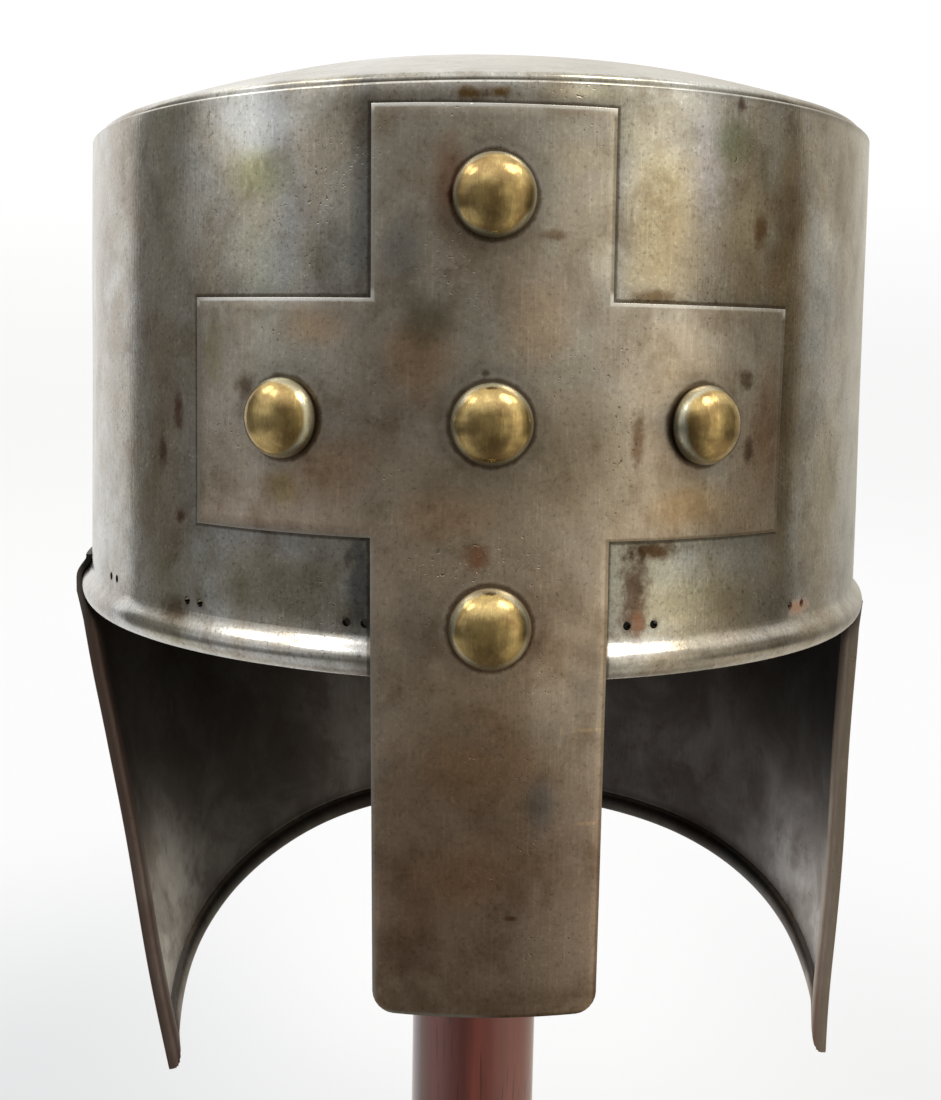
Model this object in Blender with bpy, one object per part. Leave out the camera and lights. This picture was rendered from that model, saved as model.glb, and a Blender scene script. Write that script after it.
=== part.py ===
"""A templar helmet of thin steel with a studded cross and nasal bar, resting on a plain turned wooden stand.

Metres, +Z up. The origin is on the floor under the middle of the stand's base. The helmet looks along -Y, so its
own right hand side is at -X. Heights on the helmet are given as drops below the drum's upper rim.
"""

import math

import bmesh
import bpy
from mathutils import Euler, Matrix, Vector

# Clearances between pieces that touch on the real helmet
FIT_GAP = 0.0003
GUARD_SEAT_GAP = 0.0004
CAP_SEAT_GAP = 0.0006

# Drum: an oval wall that widens a little towards its lower edge
SHEET = 0.0015
DRUM_HALF_WIDTH = 0.1050
DRUM_HALF_DEPTH = 0.1306
DRUM_HEIGHT = 0.1205
DRUM_FLARE = 0.0020
DRUM_STATIONS = 64

# The upper rim is not quite level: it climbs towards +X
RIM_LIFT = 0.0006
RIM_TILT = 0.0178

# Bead pressed outward round the drum's lower edge
BEAD_HEIGHT = 0.0090
BEAD_PROUD = 0.0026

# Domed top plate, let into the drum; its edge stands a little proud of the rim
TOP_RISE = 0.0204
TOP_PROUD = 0.0017
TOP_FLANGE = 0.0042

# Cross laid on the front of the drum; its lower arm hangs on as the nasal bar
CROSS_TOP_DROP = 0.0043
CROSS_ARM_TOP_DROP = 0.0425
CROSS_ARM_HEIGHT = 0.0487
CROSS_ARM_REACH = 0.0638
CROSS_BAR_WIDTH = 0.0490
NASAL_FOOT_WIDTH = 0.0474
NASAL_DROP = 0.1918
NASAL_CORNER = 0.0045
BAR_LEAN = 0.0015
ARM_LIFT_START = 0.75

# Brass studs: a domed head on a thin shank
STUD_DIAMETER = 0.0168
STUD_EDGE = 0.0009
STUD_RISE = 0.0062
STUD_SHANK = 0.0050
STUD_CLENCH = 0.0012
STUD_SIDES = 16
STUD_ROW_DROP = 0.0672
STUD_ARM_REACH = 0.0440
STUD_TOP_DROP = 0.0220
STUD_BOTTOM_RAISE = 0.0120

# Pairs of stitch holes for a lining, just above the bead
STITCH_HOLE = 0.0019
STITCH_RAISE = 0.0022
STITCH_PITCH = 0.0047

# Neck guard: flange over the bead, wall round the back half, free edges rolled inward
GUARD_OVERLAP = 0.0010
GUARD_HEIGHT = 0.1400
GUARD_BACK_HEIGHT = 0.1040
GUARD_LEAN_IN = 0.0108
GUARD_BACK_LEAN = 0.0100
GUARD_SHIFT = 0.0107
GUARD_STEP = 0.0006
GUARD_STEP_RUN = 0.0090
GUARD_FRONT_TOP = 0.0250
GUARD_FRONT_TIP = 0.0120
RIGHT_FLANGE_SETBACK = 0.0210
LEFT_CORNER_DROP = 0.0390
RIGHT_CORNER_DROP = 0.0275
LEFT_FOOT = 0.0040
RIGHT_FOOT = 0.0095
LEFT_SWEEP = 2.1
RIGHT_SWEEP = 3.4
EDGE_ROLL_WIDTH = 0.0065
EDGE_ROLL_IN = 0.0026
EDGE_ROLL_OUT = 0.0004
EDGE_ROLL_RUN_IN = 0.0100
GUARD_COLUMNS = 32
GUARD_WALL_SHARES = (0.0, 0.12, 0.34, 0.56, 0.78)

# Rivets through the guard's flange and the drum's bead
RIVET_HEAD = 0.0055
RIVET_RISE = 0.0015
RIVET_SHANK = 0.0030
RIVET_CLENCH = 0.0010
RIVET_SIDES = 10

# Wooden stand
RIM_HEIGHT = 0.3670
HELMET_OFFSET = -0.0036
BASE_DIAMETER = 0.2000
BASE_HEIGHT = 0.0220
BASE_ROUND = 0.0060
POST_DIAMETER = 0.0373
TENON_DIAMETER = 0.0200
TENON_LENGTH = 0.0120
CAP_DIAMETER = 0.1000
CAP_EDGE = 0.0080
STAND_SIDES = 32

# Section of the drum's bead: share of its height from the top, share of how far it stands proud
BEAD_SECTION = ((0.0, 0.0), (0.20, 0.30), (0.42, 0.85), (0.62, 1.0), (0.84, 0.78), (1.0, 0.25))
BEAD_CROWN = 0.62

# Section of the guard's rolled edge: share of its width from the free edge
EDGE_ROLL_STATIONS = (0.0, 0.12, 0.37, 0.63, 0.88, 1.0)

# Rings of the domed top plate, as shares of its half width and half depth
TOP_RINGS = (0.26, 0.50, 0.72, 0.90, 1.0)

# Middle of each pair of stitch holes, as an angle round the drum from the front, and its pitch as a share
STITCH_PAIRS = ((-56.8, 1.0), (-37.6, 0.95), (-15.3, 0.85), (17.2, 1.35), (42.1, 1.15))

# Where the rivets sit round the guard, as angles from the middle of the back
RIVET_ANGLES = (-84.0, -44.0, 0.0, 44.0, 84.0)


def clear_scene():
    for thing in list(bpy.data.objects):
        bpy.data.objects.remove(thing, do_unlink=True)


def principled(name, colour, metallic, roughness):
    material = bpy.data.materials.new(name)
    material.use_nodes = True
    shader = material.node_tree.nodes["Principled BSDF"]
    shader.inputs["Base Color"].default_value = (*colour, 1.0)
    shader.inputs["Metallic"].default_value = metallic
    shader.inputs["Roughness"].default_value = roughness
    return material


def new_object(name, bm, material, parent=None, smooth_angle=35.0):
    bmesh.ops.recalc_face_normals(bm, faces=bm.faces)
    mesh = bpy.data.meshes.new(name)
    bm.to_mesh(mesh)
    bm.free()
    mesh.shade_smooth()
    mesh.set_sharp_from_angle(angle=math.radians(smooth_angle))
    mesh.materials.append(material)
    thing = bpy.data.objects.new(name, mesh)
    bpy.context.collection.objects.link(thing)
    thing.parent = parent
    return thing


def smooth_step(share):
    share = min(max(share, 0.0), 1.0)
    return share * share * (3.0 - 2.0 * share)


def oval_ring(half_width, half_depth, height, stations, middle=0.0):
    """Points round an oval, starting at the front and going towards +X."""
    ring = []
    for i in range(stations):
        angle = 2.0 * math.pi * i / stations
        ring.append(Vector((middle + half_width * math.sin(angle), -half_depth * math.cos(angle), height)))
    return ring


def loft(rings, looped=False):
    """Skins a run of rings; a ring of one point is a pole, and a looped run joins its last ring to its first."""
    bm = bmesh.new()
    made = [[bm.verts.new(point) for point in ring] for ring in rings]
    pairs = list(zip(made, made[1:]))
    if looped:
        pairs.append((made[-1], made[0]))
    for low, high in pairs:
        count = max(len(low), len(high))
        for i in range(count):
            j = (i + 1) % count
            corners = [low[i % len(low)], low[j % len(low)], high[j % len(high)], high[i % len(high)]]
            bm.faces.new(list(dict.fromkeys(corners)))
    return bm


def turned(profile, stations):
    """A turned solid from (radius, height) points, with a pole where the radius is zero."""
    rings = []
    for radius, height in profile:
        if radius == 0.0:
            rings.append([Vector((0.0, 0.0, height))])
        else:
            rings.append(oval_ring(radius, radius, height, stations))
    return loft(rings)


def sheet_metal(cells, inner, outer):
    """A bent sheet from grid cells: both faces, and an edge strip wherever a cell has no neighbour."""
    bm = bmesh.new()
    inside = {key: bm.verts.new(point) for key, point in inner.items()}
    outside = {key: bm.verts.new(point) for key, point in outer.items()}
    used = {}
    for cell in cells:
        bm.faces.new([inside[key] for key in cell])
        bm.faces.new([outside[key] for key in reversed(cell)])
        for start, end in zip(cell, cell[1:] + cell[:1]):
            used[frozenset((start, end))] = used.get(frozenset((start, end)), []) + [(start, end)]
    for runs in used.values():
        if len(runs) == 1:
            start, end = runs[0]
            bm.faces.new([inside[end], inside[start], outside[start], outside[end]])
    return bm


def offset_profile(points, thickness):
    """Moves a run of (offset, drop) points inward by the sheet's thickness, square to the run."""
    moved = []
    for i, (offset, drop) in enumerate(points):
        before = points[max(i - 1, 0)]
        after = points[min(i + 1, len(points) - 1)]
        along = Vector((after[0] - before[0], after[1] - before[1])).normalized()
        moved.append((offset - along.y * thickness, drop + along.x * thickness))
    return moved


def cylinder_cutter(name, holes, parent):
    """One hidden cutter made of a short round bar for each (place, turn, diameter, reach)."""
    bm = bmesh.new()
    for place, turn, diameter, reach in holes:
        seat = Matrix.Translation(place) @ Euler(turn).to_matrix().to_4x4()
        sides = 8 if diameter < RIVET_SHANK else 12
        bmesh.ops.create_cone(
            bm, cap_ends=True, segments=sides, radius1=diameter / 2, radius2=diameter / 2, depth=reach, matrix=seat
        )
    mesh = bpy.data.meshes.new(name)
    bm.to_mesh(mesh)
    bm.free()
    cutter = bpy.data.objects.new(name, mesh)
    bpy.context.collection.objects.link(cutter)
    cutter.parent = parent
    cutter.hide_render = True
    cutter.display_type = "WIRE"
    return cutter


def cut_with(thing, cutter):
    cut = thing.modifiers.new("holes", "BOOLEAN")
    cut.operation = "DIFFERENCE"
    cut.solver = "EXACT"
    cut.object = cutter


def drum_offset(drop):
    """How far the drum's outer face lies outside the rim's oval, bead included."""
    flare = DRUM_FLARE * drop / DRUM_HEIGHT
    share = (drop - (DRUM_HEIGHT - BEAD_HEIGHT)) / BEAD_HEIGHT
    for (share_a, proud_a), (share_b, proud_b) in zip(BEAD_SECTION, BEAD_SECTION[1:]):
        if share_a <= share <= share_b:
            part = (share - share_a) / (share_b - share_a)
            return flare + BEAD_PROUD * (proud_a + part * (proud_b - proud_a))
    return flare


def bead_drops():
    return [DRUM_HEIGHT - BEAD_HEIGHT * (1.0 - share) for share, proud in BEAD_SECTION]


def wall_angle(x, offset):
    return math.asin(x / (DRUM_HALF_WIDTH + offset))


def wall_point(angle, drop, offset):
    """A point on the front of the drum at an angle from the front, a drop below the rim and an offset outward."""
    half_width = DRUM_HALF_WIDTH + offset
    half_depth = DRUM_HALF_DEPTH + offset
    return Vector((half_width * math.sin(angle), -half_depth * math.cos(angle), -drop))


def wall_turn(angle, slope=0.0):
    """Turn that carries +Z to the outward normal at that angle, on a face that leans out by slope on its way down."""
    heading = math.atan2(math.sin(angle) / DRUM_HALF_WIDTH, math.cos(angle) / DRUM_HALF_DEPTH)
    return (math.pi / 2 - math.atan(slope), 0.0, heading)


def follow_rim(ring):
    """Tilts a level ring with the rim."""
    return [Vector((point.x, point.y, point.z + RIM_LIFT + RIM_TILT * point.x)) for point in ring]


def make_drum(material, parent):
    drops = [0.0, CROSS_ARM_TOP_DROP] + bead_drops()
    outer = [(drum_offset(drop), drop) for drop in drops]
    inner = offset_profile(outer, SHEET)
    rings = []
    for offset, drop in outer + inner[::-1]:
        ring = oval_ring(DRUM_HALF_WIDTH + offset, DRUM_HALF_DEPTH + offset, -drop, DRUM_STATIONS)
        rings.append(follow_rim(ring) if drop < CROSS_TOP_DROP else ring)
    return new_object("crown_drum", loft(rings, looped=True), material, parent)


def top_half_axes():
    inset = SHEET + FIT_GAP
    return DRUM_HALF_WIDTH - inset, DRUM_HALF_DEPTH - inset


def make_top(material, parent):
    half_width, half_depth = top_half_axes()
    upper = [[Vector((0.0, 0.0, TOP_RISE + TOP_PROUD))]]
    lower = [[Vector((0.0, 0.0, TOP_RISE + TOP_PROUD - SHEET))]]
    for share in TOP_RINGS:
        height = TOP_RISE * (1.0 - share * share) + TOP_PROUD
        upper.append(oval_ring(half_width * share, half_depth * share, height, DRUM_STATIONS))
        inward = SHEET if share == 1.0 else 0.0
        wide, deep = half_width * share - inward, half_depth * share - inward
        lower.append(oval_ring(wide, deep, height - SHEET, DRUM_STATIONS))
    foot = TOP_PROUD - TOP_FLANGE
    upper.append(oval_ring(half_width, half_depth, foot, DRUM_STATIONS))
    lower.append(oval_ring(half_width - SHEET, half_depth - SHEET, foot, DRUM_STATIONS))
    rings = [follow_rim(ring) for ring in upper + lower[::-1]]
    return new_object("crown_top", loft(rings), material, parent)


def bar_middle(drop):
    """The bar's middle line leans, so that the top of the cross sits a little towards -X."""
    return -BAR_LEAN * (1.0 - drop / NASAL_DROP)


def bar_half_width(drop):
    below_arms = max(0.0, drop - CROSS_ARM_TOP_DROP - CROSS_ARM_HEIGHT)
    share = below_arms / (NASAL_DROP - CROSS_ARM_TOP_DROP - CROSS_ARM_HEIGHT)
    half = (CROSS_BAR_WIDTH + (NASAL_FOOT_WIDTH - CROSS_BAR_WIDTH) * share) / 2
    into_corner = max(0.0, drop - (NASAL_DROP - NASAL_CORNER))
    return half - NASAL_CORNER + math.sqrt(max(0.0, NASAL_CORNER**2 - into_corner**2))


def plate_offset(drop):
    """Offset of the cross plate's inner face: close to the wall, then eased out to clear the bead."""
    lift = CROSS_ARM_TOP_DROP + CROSS_ARM_HEIGHT * ARM_LIFT_START
    crown = DRUM_HEIGHT - BEAD_HEIGHT * (1.0 - BEAD_CROWN)
    ease = smooth_step((drop - lift) / (crown - lift))
    return DRUM_FLARE * min(drop / DRUM_HEIGHT, 1.0) + FIT_GAP + BEAD_PROUD * ease


def plate_slope(drop):
    """How steeply the plate leans out on its way down, taken across a stud's head."""
    reach = STUD_DIAMETER / 2
    return (plate_offset(drop + reach) - plate_offset(drop - reach)) / STUD_DIAMETER


def make_cross(material, parent):
    arm_top = CROSS_ARM_TOP_DROP
    arm_foot = CROSS_ARM_TOP_DROP + CROSS_ARM_HEIGHT
    bead_top = DRUM_HEIGHT - BEAD_HEIGHT
    drops = [CROSS_TOP_DROP + (arm_top - CROSS_TOP_DROP) * i / 4 for i in range(4)]
    drops += [arm_top + CROSS_ARM_HEIGHT * i / 5 for i in range(5)]
    drops += [arm_foot + (bead_top - arm_foot) * i / 4 for i in range(4)]
    straight_foot = NASAL_DROP - NASAL_CORNER
    drops += [bead_top + (straight_foot - bead_top) * i / 7 for i in range(7)]
    drops += [straight_foot + NASAL_CORNER * math.sin(math.radians(a)) for a in (0, 25, 50, 70, 88)]
    bar_columns = 8
    arm_columns = 5
    cells = []
    inner = {}
    outer = {}

    def place(column, row):
        drop = drops[row]
        middle, half = bar_middle(drop), bar_half_width(drop)
        if abs(column) <= bar_columns / 2:
            x = middle + half * column / (bar_columns / 2)
        else:
            edge = middle + math.copysign(half, column)
            share = (abs(column) - bar_columns / 2) / arm_columns
            x = edge + (math.copysign(CROSS_ARM_REACH, column) - edge) * share
        offset = plate_offset(drop)
        angle = wall_angle(x, offset + SHEET)
        inner[(column, row)] = wall_point(angle, drop, offset)
        outer[(column, row)] = wall_point(angle, drop, offset + SHEET)

    side = bar_columns // 2
    for row in range(len(drops) - 1):
        in_arms = drops[row] >= arm_top - FIT_GAP and drops[row + 1] <= arm_foot + FIT_GAP
        reach = side + arm_columns if in_arms else side
        for column in range(-reach, reach):
            cell = [(column, row), (column + 1, row), (column + 1, row + 1), (column, row + 1)]
            cells.append(cell)
            for key in cell:
                place(*key)
    return new_object("cross_plate", sheet_metal(cells, inner, outer), material, parent)


def stud_places():
    """Name, x and drop of each stud; the bottom one keeps its height above the drum's lower edge."""
    bottom = DRUM_HEIGHT - STUD_BOTTOM_RAISE
    return (
        ("stud_top", bar_middle(STUD_TOP_DROP), STUD_TOP_DROP),
        ("stud_middle", bar_middle(STUD_ROW_DROP), STUD_ROW_DROP),
        ("stud_bottom", bar_middle(bottom), bottom),
        ("stud_left", -STUD_ARM_REACH, STUD_ROW_DROP),
        ("stud_right", STUD_ARM_REACH, STUD_ROW_DROP),
    )


def fastener(name, head, edge, rise, shank, reach, sides, material):
    """A domed head, seated at height zero, on a shank that reaches down through the sheets."""
    profile = [(0.0, -reach), (shank / 2, -reach), (shank / 2, 0.0), (head / 2, 0.0)]
    if edge > 0.0:
        profile.append((head / 2, edge))
    for degrees in (30, 60, 90):
        turn = math.radians(degrees)
        radius = 0.0 if degrees == 90 else head / 2 * math.cos(turn)
        profile.append((radius, edge + (rise - edge) * math.sin(turn)))
    return new_object(name, turned(profile, sides), material)


def make_studs(material, parent):
    studs = []
    for name, x, drop in stud_places():
        outside = plate_offset(drop) + SHEET
        angle = wall_angle(x, outside)
        reach = outside - DRUM_FLARE * drop / DRUM_HEIGHT + FIT_GAP + SHEET + STUD_CLENCH
        stud = fastener(name, STUD_DIAMETER, STUD_EDGE, STUD_RISE, STUD_SHANK, reach, STUD_SIDES, material)
        stud.parent = parent
        stud.location = wall_point(angle, drop, outside + FIT_GAP)
        stud.rotation_euler = wall_turn(angle, plate_slope(drop))
        studs.append(stud)
    return studs


def stud_holes():
    holes = []
    for name, x, drop in stud_places():
        outside = plate_offset(drop) + SHEET
        angle = wall_angle(x, outside)
        turn = wall_turn(angle, plate_slope(drop))
        holes.append((wall_point(angle, drop, outside), turn, STUD_SHANK + 2 * FIT_GAP, STUD_DIAMETER))
    return holes


def stitch_holes():
    holes = []
    drop = DRUM_HEIGHT - BEAD_HEIGHT - STITCH_RAISE
    for degrees, pitch in STITCH_PAIRS:
        middle = math.radians(degrees)
        radius = math.hypot(DRUM_HALF_WIDTH * math.cos(middle), DRUM_HALF_DEPTH * math.sin(middle))
        for side in (-0.5, 0.5):
            angle = middle + side * STITCH_PITCH * pitch / radius
            holes.append((wall_point(angle, drop, 0.0), wall_turn(angle), STITCH_HOLE, 6 * SHEET))
    return holes


def guard_section(drop):
    """Middle, half width and half depth of the guard's inner face at a drop below the rim."""
    share = max(0.0, drop - DRUM_HEIGHT) / GUARD_HEIGHT
    crown = DRUM_HEIGHT - BEAD_HEIGHT * (1.0 - BEAD_CROWN)
    step = GUARD_STEP * smooth_step((drop - DRUM_HEIGHT) / GUARD_STEP_RUN)
    offset = drum_offset(min(drop, crown)) + GUARD_SEAT_GAP - step
    middle = GUARD_SHIFT * share
    half_width = DRUM_HALF_WIDTH + offset - GUARD_LEAN_IN * share
    half_depth = DRUM_HALF_DEPTH + offset - GUARD_BACK_LEAN * share
    return middle, half_width, half_depth


def guard_end_angle(drop, setback=0.0):
    """Angle from the middle of the back to the guard's front edge; a setback cuts the flange short."""
    share = max(0.0, drop - DRUM_HEIGHT) / GUARD_HEIGHT
    crown = DRUM_HEIGHT - BEAD_HEIGHT * (1.0 - BEAD_CROWN)
    ahead = GUARD_FRONT_TOP + (GUARD_FRONT_TIP - GUARD_FRONT_TOP) * share
    ahead -= setback * (1.0 - smooth_step((drop - crown) / (DRUM_HEIGHT - crown)))
    return math.pi / 2 + math.asin(ahead / guard_section(drop)[2])


def guard_length():
    """Rough length of the guard round the back, which sets where its columns fall."""
    middle, half_width, half_depth = guard_section(DRUM_HEIGHT + GUARD_HEIGHT / 2)
    return guard_end_angle(DRUM_HEIGHT + GUARD_HEIGHT / 2) * (half_width + half_depth)


def guard_lower_drop(side, from_edge):
    """Drop of the guard's lower edge; side runs from -1 at the left front edge to 1 at the right."""
    back = DRUM_HEIGHT + GUARD_BACK_HEIGHT
    corner, sweep, foot = (LEFT_CORNER_DROP, LEFT_SWEEP, LEFT_FOOT)
    if side > 0.0:
        corner, sweep, foot = (RIGHT_CORNER_DROP, RIGHT_SWEEP, RIGHT_FOOT)
    return back + corner * abs(side) ** sweep + foot * smooth_step(1.0 - from_edge / EDGE_ROLL_WIDTH)


def guard_point(column_share, drop):
    """A point on the wall's inner face, before its edges are rolled."""
    middle, half_width, half_depth = guard_section(drop)
    setback = RIGHT_FLANGE_SETBACK if column_share > 0.5 else 0.0
    angle = math.pi + guard_end_angle(drop, setback) * (1.0 - 2.0 * column_share)
    return Vector((middle + half_width * math.sin(angle), -half_depth * math.cos(angle), -drop))


def edge_roll(from_edge, from_lower, drop):
    """Share of the roll's full swell at a distance from the nearest free edge."""
    share = min(from_edge, from_lower) / EDGE_ROLL_WIDTH
    if share >= 1.0:
        return 0.0
    return math.sqrt(1.0 - (2.0 * share - 1.0) ** 2) * smooth_step((drop - DRUM_HEIGHT) / EDGE_ROLL_RUN_IN)


def guard_grid():
    """Inner points of every column and row, and the share of the edge's roll at each."""
    length = guard_length()
    band = [EDGE_ROLL_WIDTH * station for station in EDGE_ROLL_STATIONS]
    plain = length - 2 * EDGE_ROLL_WIDTH
    inside = [EDGE_ROLL_WIDTH + plain * i / GUARD_COLUMNS for i in range(1, GUARD_COLUMNS)]
    along = band + inside + [length - distance for distance in reversed(band)]
    crown = DRUM_HEIGHT - BEAD_HEIGHT * (1.0 - BEAD_CROWN)
    flange_top = DRUM_HEIGHT - BEAD_HEIGHT - GUARD_OVERLAP
    flange = [flange_top] + [drop for drop in bead_drops() if drop <= crown + FIT_GAP]
    grid = {}
    rolls = {}
    for i, distance in enumerate(along):
        from_edge = min(distance, length - distance)
        share = distance / length
        lowest = guard_lower_drop(2.0 * share - 1.0, from_edge)
        plain_height = lowest - EDGE_ROLL_WIDTH - DRUM_HEIGHT
        wall = [DRUM_HEIGHT + plain_height * part for part in GUARD_WALL_SHARES]
        band_rows = [lowest - EDGE_ROLL_WIDTH * station for station in reversed(EDGE_ROLL_STATIONS)]
        for j, drop in enumerate(flange + wall + band_rows):
            grid[(i, j)] = guard_point(share, drop)
            rolls[(i, j)] = edge_roll(from_edge, lowest - drop, drop)
    rows = len(flange) + len(wall) + len(band_rows)
    return grid, rolls, len(along), rows


def grid_normal(grid, i, j, columns, rows):
    along = grid[(min(i + 1, columns - 1), j)] - grid[(max(i - 1, 0), j)]
    down = grid[(i, min(j + 1, rows - 1))] - grid[(i, max(j - 1, 0))]
    return down.cross(along).normalized()


def make_guard(material, parent):
    grid, rolls, columns, rows = guard_grid()
    inner = {}
    outer = {}
    for (i, j), point in grid.items():
        normal = grid_normal(grid, i, j, columns, rows)
        if normal.dot(Vector((point.x, point.y, 0.0))) < 0.0:
            normal = -normal
        inner[(i, j)] = point - normal * EDGE_ROLL_IN * rolls[(i, j)]
        outer[(i, j)] = point + normal * (SHEET + EDGE_ROLL_OUT * rolls[(i, j)])
    cells = []
    for i in range(columns - 1):
        for j in range(rows - 1):
            cells.append([(i, j), (i + 1, j), (i + 1, j + 1), (i, j + 1)])
    return new_object("neck_guard", sheet_metal(cells, inner, outer), material, parent)


def rivet_seats():
    """Angle and outer offset of each rivet's seat on the guard's flange, at the bead's crown."""
    crown = DRUM_HEIGHT - BEAD_HEIGHT * (1.0 - BEAD_CROWN)
    outside = drum_offset(crown) + GUARD_SEAT_GAP + SHEET
    return crown, outside, [math.pi + math.radians(degrees) for degrees in RIVET_ANGLES]


def make_rivets(material, parent):
    crown, outside, angles = rivet_seats()
    reach = GUARD_SEAT_GAP + FIT_GAP + 2 * SHEET + RIVET_CLENCH
    for number, angle in enumerate(angles, start=1):
        name = f"guard_rivet_{number}"
        rivet = fastener(name, RIVET_HEAD, 0.0, RIVET_RISE, RIVET_SHANK, reach, RIVET_SIDES, material)
        rivet.parent = parent
        rivet.location = wall_point(angle, crown, outside + FIT_GAP)
        rivet.rotation_euler = wall_turn(angle)


def rivet_holes():
    crown, outside, angles = rivet_seats()
    holes = []
    for angle in angles:
        place = wall_point(angle, crown, outside - SHEET)
        holes.append((place, wall_turn(angle), RIVET_SHANK + 2 * FIT_GAP, 6 * SHEET))
    return holes


def make_stand(wood):
    """Base with a socket, post with a tenon at each end, and a cap whose crown follows the dome's underside."""
    half_width = top_half_axes()[0]
    socket = TENON_DIAMETER / 2 + FIT_GAP
    sink = TENON_LENGTH + FIT_GAP
    base = [(0.0, 0.0), (BASE_DIAMETER / 2 - BASE_ROUND / 3, 0.0), (BASE_DIAMETER / 2, BASE_ROUND / 3)]
    for degrees in (0, 30, 60, 90):
        turn = math.radians(degrees)
        radius = BASE_DIAMETER / 2 - BASE_ROUND * (1.0 - math.cos(turn))
        base.append((radius, BASE_HEIGHT - BASE_ROUND * (1.0 - math.sin(turn))))
    base += [(socket, BASE_HEIGHT), (socket, BASE_HEIGHT - sink), (0.0, BASE_HEIGHT - sink)]
    new_object("stand_base", turned(base, STAND_SIDES), wood)

    cap_radius = CAP_DIAMETER / 2
    under_dome = RIM_HEIGHT + RIM_LIFT + TOP_PROUD + TOP_RISE - SHEET - CAP_SEAT_GAP

    def crown(radius):
        return under_dome - TOP_RISE * ((radius + abs(HELMET_OFFSET)) / half_width) ** 2

    cap_foot = crown(cap_radius) - CAP_EDGE
    cap = [(0.0, cap_foot + sink), (socket, cap_foot + sink), (socket, cap_foot), (POST_DIAMETER * 0.75, cap_foot)]
    cap += [(cap_radius, crown(cap_radius) - CAP_EDGE / 2), (cap_radius, crown(cap_radius))]
    cap += [(cap_radius * share, crown(cap_radius * share)) for share in (0.8, 0.6, 0.4, 0.2)]
    cap.append((0.0, crown(0.0)))
    new_object("stand_cap", turned(cap, STAND_SIDES), wood)

    foot = BASE_HEIGHT + FIT_GAP
    head = cap_foot - FIT_GAP
    post = [(0.0, foot - TENON_LENGTH), (TENON_DIAMETER / 2, foot - TENON_LENGTH), (TENON_DIAMETER / 2, foot)]
    post += [(POST_DIAMETER / 2, foot), (POST_DIAMETER / 2, head)]
    post += [(TENON_DIAMETER / 2, head), (TENON_DIAMETER / 2, head + TENON_LENGTH), (0.0, head + TENON_LENGTH)]
    new_object("stand_post", turned(post, STAND_SIDES), wood)


def main():
    clear_scene()
    steel = principled("browned_steel", (0.36, 0.34, 0.31), 1.0, 0.34)
    dark_steel = principled("dark_steel", (0.20, 0.18, 0.17), 1.0, 0.45)
    brass = principled("aged_brass", (0.55, 0.38, 0.14), 1.0, 0.30)
    wood = principled("mahogany", (0.22, 0.05, 0.035), 0.0, 0.28)

    helmet = bpy.data.objects.new("helmet_place", None)
    bpy.context.collection.objects.link(helmet)
    helmet.location = (HELMET_OFFSET, 0.0, RIM_HEIGHT)

    drum = make_drum(steel, helmet)
    make_top(steel, helmet)
    cross = make_cross(steel, helmet)
    guard = make_guard(dark_steel, helmet)
    make_studs(brass, helmet)
    make_rivets(steel, helmet)

    cut_with(drum, cylinder_cutter("drum_hole_cutter", stud_holes() + stitch_holes() + rivet_holes(), helmet))
    cut_with(cross, cylinder_cutter("cross_hole_cutter", stud_holes(), helmet))
    cut_with(guard, cylinder_cutter("guard_hole_cutter", rivet_holes(), helmet))

    make_stand(wood)


main()
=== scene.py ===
# %% [markdown]
# # A templar helmet on its wooden stand
# The real helmet is thin browned steel. An oval drum with a bead pressed out round its foot carries a domed
# top, a cross whose lower arm hangs on as a nasal bar, five brass studs and a neck guard round the back.
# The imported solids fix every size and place, so they are loaded first, and each visible piece is then built
# again around them with a finer shape and a real finish.

# %% Load the frame
import math

import bmesh
import bpy
from mathutils import Euler, Matrix, Vector, noise


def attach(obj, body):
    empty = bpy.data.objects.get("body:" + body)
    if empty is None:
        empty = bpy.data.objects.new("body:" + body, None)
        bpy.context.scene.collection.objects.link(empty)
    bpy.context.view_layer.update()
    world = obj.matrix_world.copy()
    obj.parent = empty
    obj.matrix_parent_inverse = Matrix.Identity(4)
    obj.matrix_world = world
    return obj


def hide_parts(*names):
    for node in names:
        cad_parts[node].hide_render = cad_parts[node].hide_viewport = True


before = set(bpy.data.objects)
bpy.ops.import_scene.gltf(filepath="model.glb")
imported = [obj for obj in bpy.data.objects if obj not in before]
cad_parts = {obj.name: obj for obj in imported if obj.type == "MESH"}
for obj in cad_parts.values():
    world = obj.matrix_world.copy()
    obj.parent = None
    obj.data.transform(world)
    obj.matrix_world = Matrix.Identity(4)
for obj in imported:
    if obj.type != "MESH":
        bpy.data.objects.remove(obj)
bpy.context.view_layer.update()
bpy.ops.object.select_all(action="DESELECT")
print("solids:", ", ".join(sorted(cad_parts)))

# %% [markdown]
# ## The camera
# The picture was taken from just in front of the nasal bar, a little below the drum's rim, with a slight
# tilt of the hand. Its place and angles were worked out from the known sizes of the cross and the drum, so
# they are written here as plain numbers.

# %% Camera
CAMERA_PLACE = Vector((-0.01884, -0.43413, 0.3155))
CAMERA_YAW = math.radians(-1.993)
CAMERA_PITCH = math.radians(7.83)
CAMERA_ROLL = math.radians(1.11)
LENS = 48.76

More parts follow.
